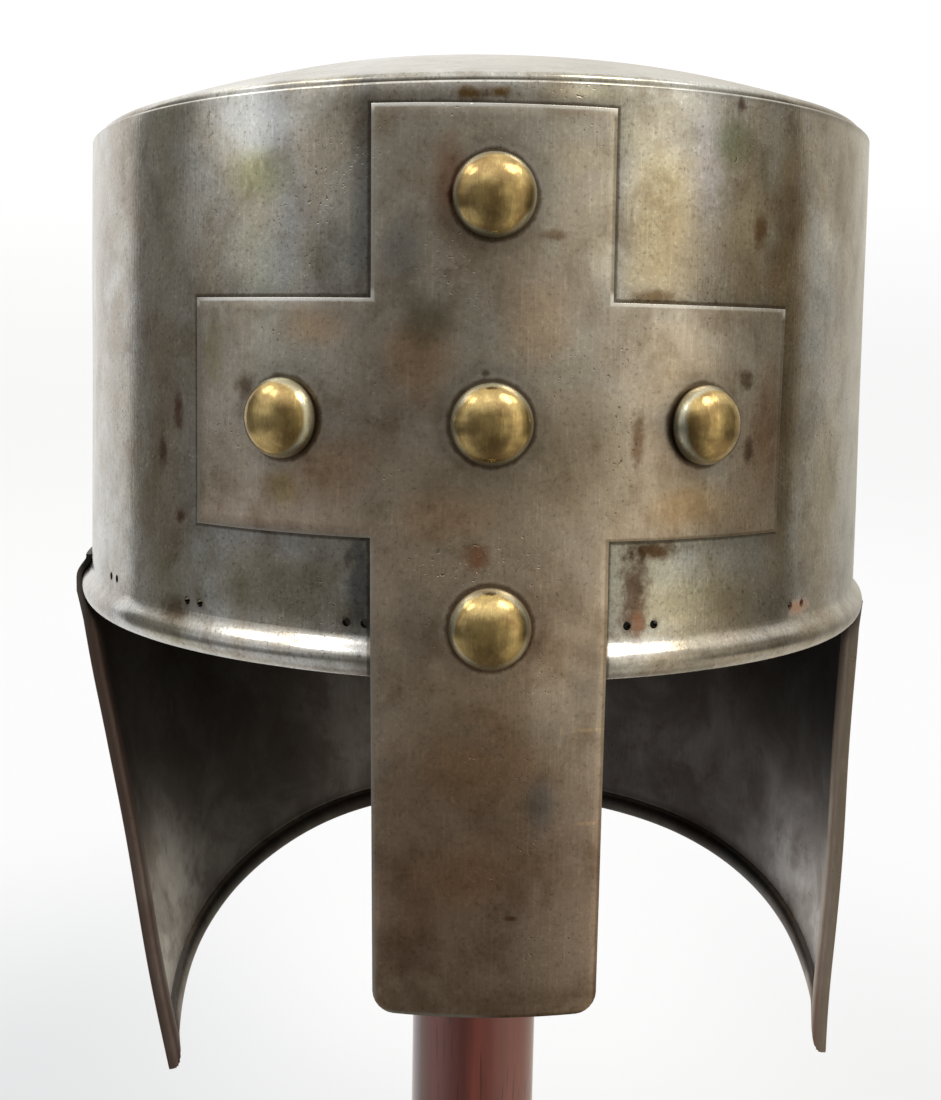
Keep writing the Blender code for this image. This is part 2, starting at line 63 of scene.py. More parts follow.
bpy.ops.object.camera_add()
camera = bpy.context.object
camera.data.lens = LENS
camera.data.sensor_width = 36.0
camera.data.clip_start = 0.01
level = math.cos(CAMERA_PITCH)
ahead = Vector((-math.sin(CAMERA_YAW) * level, math.cos(CAMERA_YAW) * level, -math.sin(CAMERA_PITCH)))
side = ahead.cross(Vector((0, 0, 1))).normalized()
upward = side.cross(ahead)
right = side * math.cos(CAMERA_ROLL) + upward * math.sin(CAMERA_ROLL)
top = upward * math.cos(CAMERA_ROLL) - side * math.sin(CAMERA_ROLL)
camera.matrix_world = Matrix.Translation(CAMERA_PLACE) @ Matrix((right, top, -ahead)).transposed().to_4x4()
bpy.context.scene.camera = camera
bpy.context.scene.view_settings.view_transform = "Standard"
print("camera looks along", [round(part, 3) for part in ahead])

# %% [markdown]
# ## Shader maths as Python
# A material is a net of nodes, and most of its nodes only add, scale or compare numbers. One small class
# wraps a socket, so that the maths can be written as an expression. Every other node comes from its one
# method.

# %% One class for sockets
def sum_node(operation, swapped=False):
    """A method that adds one Math node to its socket; swapped when the socket stands on the right."""

    def method(self, other=0.0):
        first, second = (other, self) if swapped else (self, other)
        return self.math(operation, first, second)

    return method


class Wire:
    """A socket of a node tree. Sums on it add Math nodes, and node() adds any other kind."""

    def __init__(self, tree, socket=None):
        self.tree = tree
        self.socket = socket

    def node(self, kind, settings=(), inputs=(), output=0):
        made = self.tree.nodes.new("ShaderNode" + kind)
        for name, value in dict(settings).items():
            if name == "stops":
                ramp = made.color_ramp
                while len(ramp.elements) < len(value):
                    ramp.elements.new(1.0)
                for element, (position, tone) in zip(ramp.elements, value):
                    element.position = position
                    element.color = (*tone, 1.0)
            else:
                setattr(made, name, value)
        for name, value in dict(inputs).items():
            if isinstance(value, Wire):
                self.tree.links.new(value.socket, made.inputs[name])
            elif made.inputs[name].type == "RGBA":
                made.inputs[name].default_value = (*value, 1.0)
            else:
                made.inputs[name].default_value = value
        return Wire(self.tree, made.outputs[output] if made.outputs else None)

    def math(self, operation, first, second=0.0):
        return self.node("Math", {"operation": operation}, {0: first, 1: second})

    __add__ = sum_node("ADD")
    __radd__ = sum_node("ADD", swapped=True)
    __sub__ = sum_node("SUBTRACT")
    __rsub__ = sum_node("SUBTRACT", swapped=True)
    __mul__ = sum_node("MULTIPLY")
    __rmul__ = sum_node("MULTIPLY", swapped=True)
    __truediv__ = sum_node("DIVIDE")
    __pow__ = sum_node("POWER")
    __abs__ = sum_node("ABSOLUTE")
    least = sum_node("MINIMUM")
    most = sum_node("MAXIMUM")


def smooth(value, start, end):
    """0 at start and 1 at end with a soft S between them; start may be the larger."""
    limits = {"Value": value, "From Min": start, "From Max": end}
    return value.node("MapRange", {"interpolation_type": "SMOOTHSTEP"}, limits)


def mixed(share, first, second):
    """Colour that goes from first to second as share goes from 0 to 1."""
    wire = next(part for part in (share, first, second) if isinstance(part, Wire))
    return wire.node("Mix", {"data_type": "RGBA"}, {0: share, 6: first, 7: second}, output=2)


def stretched(place, along):
    """The place scaled apart on each axis, for grain and brushing."""
    return place.node("VectorMath", {"operation": "MULTIPLY"}, {0: place, 1: along})


def cloud(place, scale, detail=3.0, roughness=0.55, warp=0.0):
    sizes = {"Vector": place, "Scale": scale, "Detail": detail, "Roughness": roughness, "Distortion": warp}
    return place.node("TexNoise", (), sizes)


def join_surface(place, depth, values):
    """Leads a relief and the shader's values to a material's output."""
    bump = place.node("Bump", (), {"Strength": 1.0, "Distance": 1.0, "Height": depth})
    shader = place.node("BsdfPrincipled", (), values | {"Normal": bump})
    place.node("OutputMaterial", (), {"Surface": shader})


print("socket class ready")

# %% [markdown]
# ## The studio
# The helmet was lit by a bright room: white walls behind and beside it, a pale ceiling, two windows high on
# each side, and a dim brown room in front that the cross mirrors. Polished steel shows nothing but such a
# room, so the world is painted by compass bearing and height. Area lamps could do the same, but a painted
# world gives each side its own tone. Bearings run from the front towards the viewer's right.

# %% World
# Bearing in degrees, then brightness at -28, -10, 1 and 8 degrees of height, and warmth
ROOM = (
    (-180, 0.80, 0.85, 0.95, 1.00, 0.4), (-150, 0.85, 0.82, 0.92, 1.00, 0.1),
    (-134, 0.85, 0.80, 0.90, 1.00, 0.0), (-126, 0.85, 0.76, 0.88, 0.98, 0.0),
    (-123.5, 0.75, 0.24, 0.22, 0.24, 0.5), (-112, 0.70, 0.21, 0.18, 0.22, 0.6),
    (-101, 0.65, 0.20, 0.20, 0.27, 0.5), (-94, 0.60, 0.22, 0.30, 0.50, 0.1),
    (-76, 0.60, 0.24, 0.38, 0.73, 0.0), (-62, 0.55, 0.20, 0.32, 0.67, 0.0),
    (-50, 0.45, 0.19, 0.27, 0.40, 0.2), (-40, 0.30, 0.18, 0.21, 0.28, 0.5),
    (-20, 0.18, 0.19, 0.21, 0.26, 0.8), (5, 0.18, 0.20, 0.24, 0.30, 0.9), (16, 0.20, 0.28, 0.33, 0.44, 0.9),
    (22, 0.25, 0.42, 0.50, 0.70, 0.8), (36, 0.35, 0.46, 0.52, 0.60, 0.8), (42, 0.50, 0.70, 0.84, 1.00, 0.9),
    (60, 0.70, 0.84, 1.00, 1.15, 0.9), (68, 0.70, 0.52, 0.64, 0.76, 0.8), (76, 0.70, 0.30, 0.40, 0.52, 0.9),
    (90, 0.65, 0.20, 0.25, 0.33, 1.1), (105.5, 0.60, 0.16, 0.17, 0.20, 1.2),
    (107.5, 0.60, 0.26, 0.34, 0.44, 0.8), (124, 0.65, 0.36, 0.48, 0.61, 0.8),
    (134, 0.65, 0.42, 0.56, 0.68, 0.8), (152, 0.70, 0.43, 0.57, 0.68, 0.9),
    (164, 0.75, 0.60, 0.75, 0.80, 0.8), (180, 0.80, 0.85, 0.95, 1.00, 0.4),
)
# Bearing, height, half angle, brightness and tint of each window
WINDOWS = (
    (-63.0, 46.0, 8.0, 4.5, (1.0, 1.0, 0.97)),
    (-92.0, 46.0, 9.0, 3.6, (1.0, 1.0, 0.97)),
    (48.0, 53.0, 11.0, 8.0, (1.0, 0.95, 0.86)),
    (72.0, 49.0, 9.0, 4.0, (1.0, 0.96, 0.90)),
)


def room_tone(brightness, warmth):
    return (brightness, brightness * (1.0 - 0.07 * warmth), brightness * (1.0 - 0.22 * warmth))


def towards(bearing, height):
    bearing, height = math.radians(bearing), math.radians(height)
    level = math.cos(height)
    return Vector((math.sin(bearing) * level, -math.cos(bearing) * level, math.sin(height)))


world = bpy.data.worlds.new("studio_room")
bpy.context.scene.world = world
world.use_nodes = True
world.node_tree.nodes.clear()
look = Wire(world.node_tree).node("TexCoord", output="Generated")
look_x, look_y, look_z = (look.node("SeparateXYZ", (), {0: look}, output=axis) for axis in range(3))
bearing = look.math("ARCTAN2", look_x, 0.0 - look_y) / math.tau + 0.5
height = look.math("ARCSINE", look_z) * math.degrees(1.0)


def room_band(level):
    """The room all round at one of the four heights."""
    stops = [((row[0] + 180.0) / 360.0, room_tone(row[1 + level], row[5])) for row in ROOM]
    return look.node("ValToRGB", {"stops": stops}, {0: bearing})


room = mixed(smooth(height, -28.0, -12.0), room_band(0), room_band(1))
room = mixed(smooth(height, -12.0, 1.0), room, room_band(2))
room = mixed(smooth(height, 1.0, 8.0), room, room_band(3))
room = mixed(smooth(height, -42.0, -78.0), room, (0.28, 0.26, 0.24))
room = mixed(smooth(height, 13.0, 52.0), room, (1.60, 1.58, 1.54))
for window_bearing, window_height, half_angle, bright, tint in WINDOWS:
    direction = towards(window_bearing, window_height)
    facing = look.node("VectorMath", {"operation": "DOT_PRODUCT"}, {0: look, 1: direction}, output="Value")
    edge = math.cos(math.radians(half_angle * 1.15))
    core = math.cos(math.radians(half_angle * 0.8))
    room = mixed(smooth(facing, edge, core), room, tuple(bright * part for part in tint))
back = look.node("Background", (), {"Color": room, "Strength": 1.0})
look.node("OutputWorld", (), {"Surface": back})
print("room painted with", len(ROOM), "bearings and", len(WINDOWS), "windows")

# %% [markdown]
# ## The backdrop
# The photograph shows a plain near-white ground with no horizon. A wide bowl does that from every side: a
# flat floor that runs up into a wall in one sweep. It is drawn as an outline and spun. The camera alone
# sees it, so that it neither shades the helmet nor hides the room from the steel.

# %% Helpers for turning an outline
def only(piece):
    bpy.ops.object.select_all(action="DESELECT")
    piece.select_set(True)
    bpy.context.view_layer.objects.active = piece


def open_new(name):
    """Names the piece just added and opens it for editing, with all its points selected."""
    piece = bpy.context.object
    piece.name = name
    piece.data.name = name
    bpy.ops.object.mode_set(mode="EDIT")
    bpy.ops.mesh.select_mode(type="VERT")
    bpy.ops.mesh.select_all(action="SELECT")
    return piece


def spin_outline(name, outline, steps):
    """A turned piece from its outline of (across, up) points, closed on the axis, with its faces outward."""
    bpy.ops.object.select_all(action="DESELECT")
    bpy.ops.mesh.primitive_plane_add(size=0.01)
    piece = open_new(name)
    bpy.ops.mesh.merge(type="CENTER")
    bpy.ops.transform.translate(value=(outline[0][0], 0.0, outline[0][1]))
    for (x, z), (next_x, next_z) in zip(outline, outline[1:]):
        bpy.ops.mesh.extrude_region_move(TRANSFORM_OT_translate={"value": (next_x - x, 0.0, next_z - z)})
    bpy.ops.mesh.select_all(action="SELECT")
    bpy.ops.mesh.spin(steps=steps, angle=math.tau, center=(0, 0, 0), axis=(0, 0, 1))
    bpy.ops.mesh.select_all(action="SELECT")
    bpy.ops.mesh.remove_doubles(threshold=1e-6)
    bpy.ops.mesh.normals_make_consistent(inside=False)
    bpy.ops.object.mode_set(mode="OBJECT")
    return piece


def round_smooth(piece, degrees=40.0):
    only(piece)
    bpy.ops.object.shade_smooth_by_angle(angle=math.radians(degrees))


# %% Bowl
FLOOR_REACH = 1.3
BOWL_RADIUS = 2.2
BOWL_HEIGHT = 3.0
SWEEP_RADIUS = BOWL_RADIUS - FLOOR_REACH
FLOOR_DROP = 0.0002

bowl_outline = [(0.0, -FLOOR_DROP), (FLOOR_REACH, -FLOOR_DROP)]
for degrees in range(6, 91, 6):
    turn = math.radians(degrees)
    bowl_outline.append((FLOOR_REACH + SWEEP_RADIUS * math.sin(turn), SWEEP_RADIUS * (1.0 - math.cos(turn))))
bowl_outline += [(BOWL_RADIUS, BOWL_HEIGHT), (0.0, BOWL_HEIGHT)]
bowl = spin_outline("studio_bowl", bowl_outline, 96)
round_smooth(bowl, 30.0)
for ray in ("diffuse", "glossy", "transmission", "volume_scatter", "shadow"):
    setattr(bowl, "visible_" + ray, False)
print("bowl faces:", len(bowl.data.polygons))


# %% Bowl finish
def open_finish(name):
    """A new empty material and its Object coordinates."""
    finish = bpy.data.materials.new(name)
    finish.use_nodes = True
    finish.node_tree.nodes.clear()
    return finish, Wire(finish.node_tree).node("TexCoord", output="Object")


def split(place):
    return [place.node("SeparateXYZ", (), {0: place}, output=axis) for axis in range(3)]


paper, paper_place = open_finish("white_paper")
paper_x, paper_y, paper_z = split(paper_place)
paper_reach = (paper_x * paper_x + paper_y * paper_y) ** 0.5
# The floor's glow is dimmed round the stand, most on its left: a painted shadow round the stand's foot.
painted_shadow_left = mixed(smooth(paper_x, -0.20, -0.02), (0.46, 0.463, 0.463), (0.58, 0.58, 0.575))
painted_shadow_pool = mixed(smooth(paper_x, 0.06, 0.22), painted_shadow_left, (0.51, 0.51, 0.505))
paper_floor = mixed(smooth(paper_reach, 0.25, 0.60), painted_shadow_pool, (0.56, 0.56, 0.555))
paper_glow = mixed(smooth(paper_z, 0.1, 0.9), paper_floor, (0.86, 0.86, 0.87))
glow = paper_place.node("Emission", (), {"Color": paper_glow, "Strength": 1.0})
shaded = paper_place.node("BsdfDiffuse", (), {"Color": (0.262, 0.268, 0.282)})
lit_paper = paper_place.node("AddShader", (), {0: glow, 1: shaded})
paper_place.node("OutputMaterial", (), {"Surface": lit_paper})
bowl.data.materials.append(paper)
print("bowl finish:", paper.name)

# %% [markdown]
# ## The drum
# The drum is one strip of 1.5 mm steel bent to an oval, a little wider at its foot, where a half-round bead
# is pressed outward to stiffen it. It could be an extruded ring with a bead laid on, but the real bead is
# the sheet itself. So an oval ring is extruded downwards ring by ring, following the section, and Solidify
# gives the sheet its thickness. All measures on the helmet are drops below the upper rim, on the rim's own
# centre, as in the solids.

# %% Measures of the drum
HELMET_PLACE = Vector((-0.0036, 0.0, 0.3670))
SHEET = 0.0015
FIT_GAP = 0.0003
HALF_WIDTH = 0.1050
HALF_DEPTH = 0.1306
DRUM_HEIGHT = 0.1205
DRUM_FLARE = 0.0020
BEAD_HEIGHT = 0.0090
BEAD_PROUD = 0.0026
BEAD_SECTION = ((0.0, 0.0), (0.20, 0.30), (0.42, 0.85), (0.62, 1.0), (0.84, 0.78), (1.0, 0.25))
BEAD_CROWN = 0.62
RIM_LIFT = 0.0006
RIM_TILT = 0.0178
BEAD_TOP = DRUM_HEIGHT - BEAD_HEIGHT
CROWN_DROP = DRUM_HEIGHT - BEAD_HEIGHT * (1.0 - BEAD_CROWN)
STATIONS = 192


def soft_step(share):
    share = min(max(share, 0.0), 1.0)
    return share * share * (3.0 - 2.0 * share)


def bead_proud(share):
    """How proud the bead stands, on one smooth curve through the points of its section."""
    if share <= 0.0:
        return 0.0
    last = len(BEAD_SECTION) - 1
    span = next(i for i in range(last) if share <= BEAD_SECTION[i + 1][0] or i == last - 1)
    (low, low_proud), (high, high_proud) = BEAD_SECTION[span], BEAD_SECTION[span + 1]
    slopes = []
    for at in (span, span + 1):
        before, after = BEAD_SECTION[max(at - 1, 0)], BEAD_SECTION[min(at + 1, last)]
        slopes.append(0.0 if at == 0 else (after[1] - before[1]) / (after[0] - before[0]))
    part = (share - low) / (high - low)
    rise = part * part * (3.0 - 2.0 * part)
    start = part * (1.0 - part) ** 2 * (high - low) * slopes[0]
    end = part * part * (1.0 - part) * (high - low) * slopes[1]
    return low_proud + (high_proud - low_proud) * rise + start - end


def drum_offset(drop):
    """How far the drum's outer face lies outside the rim's oval."""
    return DRUM_FLARE * drop / DRUM_HEIGHT + BEAD_PROUD * bead_proud((drop - BEAD_TOP) / BEAD_HEIGHT)


def follow_rim(piece, share=lambda place: 1.0):
    """Tilts a piece with the upper rim, which climbs a little towards +X."""
    for vertex in piece.data.vertices:
        vertex.co.z += (RIM_LIFT + RIM_TILT * vertex.co.x) * share(vertex.co)


print("bead crown stands", round(drum_offset(CROWN_DROP) * 1000, 2), "mm outside the rim")


# %% Helpers for the beaten sheet
HAMMER_DEPTH = 0.00022
HAMMER_SPAN = 0.043


def oval_outward(place):
    """Foot of a place on the rim's oval, and the outward direction there."""
    angle = math.atan2(place.x / HALF_WIDTH, -place.y / HALF_DEPTH)
    foot = Vector((HALF_WIDTH * math.sin(angle), -HALF_DEPTH * math.cos(angle), place.z))
    outward = Vector((math.sin(angle) / HALF_WIDTH, -math.cos(angle) / HALF_DEPTH, 0.0)).normalized()
    return foot, outward


def beat(piece, share=lambda place: 1.0):
    """Gives a piece the drum's shallow dents, so that all that lies on the drum moves with it."""
    for vertex in piece.data.vertices:
        foot, outward = oval_outward(vertex.co)
        dent = HAMMER_DEPTH * noise.noise(foot / HAMMER_SPAN)
        vertex.co += outward * dent * share(vertex.co)


def seat(piece):
    """Carries a finished piece from the rim's centre to its place in the frame."""
    only(piece)
    bpy.ops.object.location_clear()
    bpy.ops.transform.translate(value=HELMET_PLACE)
    bpy.ops.object.transform_apply(location=True, rotation=True, scale=True)


def add_modifier(piece, kind, **values):
    only(piece)
    modifier = piece.modifiers.new(kind.lower(), kind)
    for name, value in values.items():
        setattr(modifier, name, value)
    bpy.ops.object.modifier_apply(modifier=modifier.name)


def face_outward(piece):
    """Turns an open sheet so that its faces look away from the helmet's middle."""
    faces = piece.data.polygons
    leaning = sum(face.normal.x * face.center.x + face.normal.y * face.center.y for face in faces)
    only(piece)
    bpy.ops.object.mode_set(mode="EDIT")
    bpy.ops.mesh.select_all(action="SELECT")
    if leaning < 0.0:
        bpy.ops.mesh.flip_normals()
    bpy.ops.object.mode_set(mode="OBJECT")


# %% Helpers for oval rings
def first_oval(name, wide, deep, up):
    """An oval ring of edges, left selected in edit mode."""
    bpy.ops.object.select_all(action="DESELECT")
    bpy.ops.mesh.primitive_circle_add(vertices=STATIONS, radius=1.0)
    piece = open_new(name)
    bpy.ops.transform.resize(value=(wide, deep, 1.0), center_override=(0, 0, 0))
    bpy.ops.transform.translate(value=(0, 0, up))
    return piece


def stack_ovals(name, ovals):
    """A skin through (half width, half depth, height) ovals, extruded one from the other."""
    piece = first_oval(name, *ovals[0])
    for (wide, deep, up), (next_wide, next_deep, next_up) in zip(ovals, ovals[1:]):
        bpy.ops.mesh.extrude_region_move(TRANSFORM_OT_translate={"value": (0, 0, next_up - up)})
        bpy.ops.transform.resize(value=(next_wide / wide, next_deep / deep, 1.0), center_override=(0, 0, 0))
    return piece


def close_skin(piece):
    """Ends the editing of a skin, with its faces outward."""
    bpy.ops.mesh.select_all(action="SELECT")
    bpy.ops.mesh.normals_make_consistent(inside=False)
    bpy.ops.object.mode_set(mode="OBJECT")
    face_outward(piece)


# %% Drum wall
WALL_RINGS = 27
BEAD_RINGS = 14
RIM_REACH = 0.0425

drops = [BEAD_TOP * ring / WALL_RINGS for ring in range(WALL_RINGS)]
drops += [BEAD_TOP + BEAD_HEIGHT * ring / BEAD_RINGS for ring in range(BEAD_RINGS + 1)]
rings = [(HALF_WIDTH + drum_offset(drop), HALF_DEPTH + drum_offset(drop), -drop) for drop in drops]
drum = stack_ovals("drum", rings)
close_skin(drum)
follow_rim(drum, lambda place: max(0.0, 1.0 + place.z / RIM_REACH))
beat(drum)
add_modifier(drum, "SOLIDIFY", thickness=SHEET, offset=-1.0, use_even_offset=True)
add_modifier(drum, "BEVEL", width=0.00055, segments=3, limit_method="ANGLE", angle_limit=math.radians(55))
print("drum wall faces:", len(drum.data.polygons))

# %% [markdown]
# ## Holes through the sheets
# Pairs of small stitch holes for a lining run just above the bead, and the studs and rivets pass through
# the sheets. Holes could be painted on, but real ones show the dark inside at an angle. So one cutter of
# short round bars, each turned to stand square on the wall, is taken away from the sheet with a Boolean.

# %% Places on the wall
CROSS_TOP_DROP = 0.0043
ARM_TOP = 0.0425
ARM_HEIGHT = 0.0487
ARM_REACH = 0.0638
BAR_WIDTH = 0.0490
NASAL_FOOT_WIDTH = 0.0474
NASAL_DROP = 0.1918
NASAL_CORNER = 0.0045
BAR_LEAN = 0.0015
ARM_LIFT_START = 0.75
STUD_DIAMETER = 0.0168
STUD_SHANK = 0.0050
RIVET_SHANK = 0.0030
STUD_ROW_DROP = 0.0672
STUD_ARM_REACH = 0.0440
STITCH_DROP = BEAD_TOP - 0.0022
STITCH_HOLE = 0.0019
STITCH_PITCH = 0.0047
STITCH_PAIRS = ((-56.8, 1.0), (-37.6, 0.95), (-15.3, 0.85), (17.2, 1.35), (42.1, 1.15))
GUARD_SEAT_GAP = 0.0004
RIVET_ANGLES = (-84.0, -44.0, 0.0, 44.0, 84.0)


def wall_angle(x, offset):
    return math.asin(x / (HALF_WIDTH + offset))


def wall_point(angle, drop, offset):
    return Vector(((HALF_WIDTH + offset) * math.sin(angle), -(HALF_DEPTH + offset) * math.cos(angle), -drop))


def wall_turn(angle, slope=0.0):
    """Turn that stands a piece square on the wall there."""
    heading = math.atan2(math.sin(angle) / HALF_WIDTH, math.cos(angle) / HALF_DEPTH)
    return (math.pi / 2 - math.atan(slope), 0.0, heading)


def bar_middle(drop):
    return -BAR_LEAN * (1.0 - drop / NASAL_DROP)


def plate_offset(drop):
    """Offset of the cross's inner face: close to the wall, then eased out over the bead."""
    lift = ARM_TOP + ARM_HEIGHT * ARM_LIFT_START
    ease = soft_step((drop - lift) / (CROWN_DROP - lift))
    return DRUM_FLARE * min(drop / DRUM_HEIGHT, 1.0) + FIT_GAP + BEAD_PROUD * ease


def plate_slope(drop):
    reach = STUD_DIAMETER / 2
    return (plate_offset(drop + reach) - plate_offset(drop - reach)) / STUD_DIAMETER


def stud_seat(x, drop):
    """Offset of the plate's outer face under a stud, then the stud's angle round the wall and its turn."""
    outside = plate_offset(drop) + SHEET
    angle = wall_angle(x, outside)
    return outside, angle, wall_turn(angle, plate_slope(drop))


STUD_BOTTOM_DROP = DRUM_HEIGHT - 0.0120
STUDS = (
    ("stud_top", bar_middle(0.0220), 0.0220),
    ("stud_middle", bar_middle(STUD_ROW_DROP), STUD_ROW_DROP),
    ("stud_bottom", bar_middle(STUD_BOTTOM_DROP), STUD_BOTTOM_DROP),
    ("stud_left", -STUD_ARM_REACH, STUD_ROW_DROP),
    ("stud_right", STUD_ARM_REACH, STUD_ROW_DROP),
)
print("studs:", ", ".join(name for name, x, drop in STUDS))


# %% Cutters
def cut_holes(piece, holes):
    """Takes round bars of (place, turn, diameter) away from a sheet."""
    bars = []
    for place, turn, diameter in holes:
        bpy.ops.object.select_all(action="DESELECT")
        bpy.ops.mesh.primitive_cylinder_add(
            vertices=20, radius=diameter / 2, depth=8 * SHEET, location=place, rotation=turn
        )
        bars.append(bpy.context.object)
    for bar in bars:
        bar.select_set(True)
    bpy.ops.object.join()
    cutter = bpy.context.object
    bpy.ops.object.transform_apply(location=True, rotation=True, scale=True)
    before = len(piece.data.polygons)
    add_modifier(piece, "BOOLEAN", operation="DIFFERENCE", solver="EXACT", object=cutter)
    bpy.data.objects.remove(cutter)
    print(piece.name, "cut by", len(holes), "bars:", before, "to", len(piece.data.polygons), "faces")


stud_holes = []
for name, x, drop in STUDS:
    outside, angle, turn = stud_seat(x, drop)
    stud_holes.append((wall_point(angle, drop, outside), turn, STUD_SHANK + 2 * FIT_GAP))
stitch_holes = []
for degrees, pitch in STITCH_PAIRS:
    middle = math.radians(degrees)
    radius = math.hypot(HALF_WIDTH * math.cos(middle), HALF_DEPTH * math.sin(middle))
    for way in (-0.5, 0.5):
        angle = middle + way * STITCH_PITCH * pitch / radius
        stitch_holes.append((wall_point(angle, STITCH_DROP, 0.0), wall_turn(angle), STITCH_HOLE))
rivet_outside = drum_offset(CROWN_DROP) + GUARD_SEAT_GAP + SHEET
rivet_angles = [math.pi + math.radians(degrees) for degrees in RIVET_ANGLES]
rivet_holes = []
for angle in rivet_angles:
    place = wall_point(angle, CROWN_DROP, rivet_outside - SHEET)
    rivet_holes.append((place, wall_turn(angle), RIVET_SHANK + 2 * FIT_GAP))
cut_holes(drum, stud_holes + stitch_holes + rivet_holes)
round_smooth(drum, 32.0)
seat(drum)

# %% [markdown]
# ## The domed top
# The top is a shallow oval dish let into the drum, with a short flange turned down inside it. Ovals are
# stacked from the flange's foot over the shoulder to the middle, where the last ring is merged to a point.

# %% Dome
TOP_RISE = 0.0204
TOP_PROUD = 0.0017
TOP_FLANGE = 0.0042
SHOULDER = 0.0017
SHOULDER_LIFT = 0.0005
DOME_RINGS = 34
DOME_WAVE = 0.0007
DOME_WAVE_SPAN = 0.05

dome_wide = HALF_WIDTH - SHEET - FIT_GAP
dome_deep = HALF_DEPTH - SHEET - FIT_GAP
rings = [(dome_wide, dome_deep, TOP_PROUD - TOP_FLANGE), (dome_wide, dome_deep, 0.0)]
for turn in (0, 14, 28, 42, 56, 68):
    inward = SHOULDER * (1.0 - math.cos(math.radians(turn)))
    lift = SHOULDER_LIFT + SHOULDER * math.sin(math.radians(turn))
    rings.append((dome_wide - inward, dome_deep - inward, lift))
for ring in range(1, DOME_RINGS):
    share = 1.0 - ring / DOME_RINGS
    rings.append((dome_wide * share, dome_deep * share, TOP_RISE * (1.0 - share * share) + TOP_PROUD))
dome = stack_ovals("dome", rings)
last_step = TOP_RISE + TOP_PROUD - rings[-1][2]
bpy.ops.mesh.extrude_region_move(TRANSFORM_OT_translate={"value": (0, 0, last_step)})
bpy.ops.mesh.merge(type="CENTER")
close_skin(dome)
follow_rim(dome)
beat(dome, lambda place: soft_step(2.0 * math.hypot(place.x / dome_wide, place.y / dome_deep) - 1.0))
for vertex in dome.data.vertices:
    out = math.hypot(vertex.co.x / dome_wide, vertex.co.y / dome_deep)
    vertex.co.z += DOME_WAVE * noise.noise(vertex.co / DOME_WAVE_SPAN) * (1.0 - soft_step(out * 1.25 - 0.25))
add_modifier(dome, "SOLIDIFY", thickness=SHEET, offset=-1.0, use_even_offset=True)
add_modifier(dome, "BEVEL", width=0.0004, segments=2, limit_method="ANGLE", angle_limit=math.radians(50))
round_smooth(dome, 32.0)
seat(dome)
print("dome faces:", len(dome.data.polygons))

# %% [markdown]
# ## The cross and nasal bar
# The cross is cut from one flat plate and bent to the drum, and its lower arm hangs on below the drum as
# the nasal bar. A grid is added flat, its lines are moved to the cross's own edges, the cells outside the
# cross are deleted, and the sheet is wrapped on the wall. Solidify thickens it and a narrow bevel breaks
# its cut edges, which the light catches.

# %% Flat cross, in columns and rows
BAR_COLUMNS = 22
ARM_COLUMNS = 15
CORNER_TURNS = (0, 15, 30, 45, 58, 70, 80, 89)

rows = [CROSS_TOP_DROP + (ARM_TOP - CROSS_TOP_DROP) * row / 14 for row in range(14)]
rows += [ARM_TOP + ARM_HEIGHT * row / 18 for row in range(18)]
straight_foot = NASAL_DROP - NASAL_CORNER
arm_foot = ARM_TOP + ARM_HEIGHT
rows += [arm_foot + (straight_foot - arm_foot) * row / 36 for row in range(36)]
rows += [straight_foot + NASAL_CORNER * math.sin(math.radians(turn)) for turn in CORNER_TURNS]
columns = range(-ARM_COLUMNS - BAR_COLUMNS // 2, ARM_COLUMNS + BAR_COLUMNS // 2 + 1)


def bar_half_width(drop):
    share = max(0.0, drop - arm_foot) / (NASAL_DROP - arm_foot)
    half = (BAR_WIDTH + (NASAL_FOOT_WIDTH - BAR_WIDTH) * share) / 2
    into_corner = max(0.0, drop - straight_foot)
    return half - NASAL_CORNER + math.sqrt(max(0.0, NASAL_CORNER**2 - into_corner**2))


def cross_x(column, drop):
    """Distance across of a column, with the arms' columns spread from the bar's edge to the arm's end."""
    middle, half = bar_middle(drop), bar_half_width(drop)
    if abs(column) <= BAR_COLUMNS / 2:
        return middle + half * column / (BAR_COLUMNS / 2)
    edge = middle + math.copysign(half, column)
    share = (abs(column) - BAR_COLUMNS / 2) / ARM_COLUMNS
    return edge + (math.copysign(ARM_REACH, column) - edge) * share


def add_grid(name, across, down):
    """A flat grid of that many cells, with its vertices on whole numbers, left in edit mode."""
    bpy.ops.object.select_all(action="DESELECT")
    bpy.ops.mesh.primitive_grid_add(x_subdivisions=across, y_subdivisions=down, size=2.0)
    piece = open_new(name)
    bpy.ops.transform.translate(value=(1.0, 1.0, 0.0))
    bpy.ops.transform.resize(value=(across / 2.0, down / 2.0, 1.0), center_override=(0, 0, 0))
    return piece


def delete_cells(piece, unwanted):
    """Deletes the faces whose middle, in columns and rows, is unwanted."""
    bpy.ops.mesh.select_mode(type="FACE")
    bpy.ops.mesh.select_all(action="DESELECT")
    sheet = bmesh.from_edit_mesh(piece.data)
    for face in sheet.faces:
        middle = face.calc_center_median()
        face.select_set(unwanted(middle.x, middle.y))
    bmesh.update_edit_mesh(piece.data)
    bpy.ops.mesh.delete(type="FACE")
    bpy.ops.mesh.select_mode(type="VERT")


cross = add_grid("cross", len(columns) - 1, len(rows) - 1)
arm_rows = (14, 32)
delete_cells(cross, lambda u, v: abs(u + columns[0]) > BAR_COLUMNS / 2 and not arm_rows[0] < v < arm_rows[1])
bpy.ops.object.mode_set(mode="OBJECT")
print("cross cells:", len(cross.data.polygons))

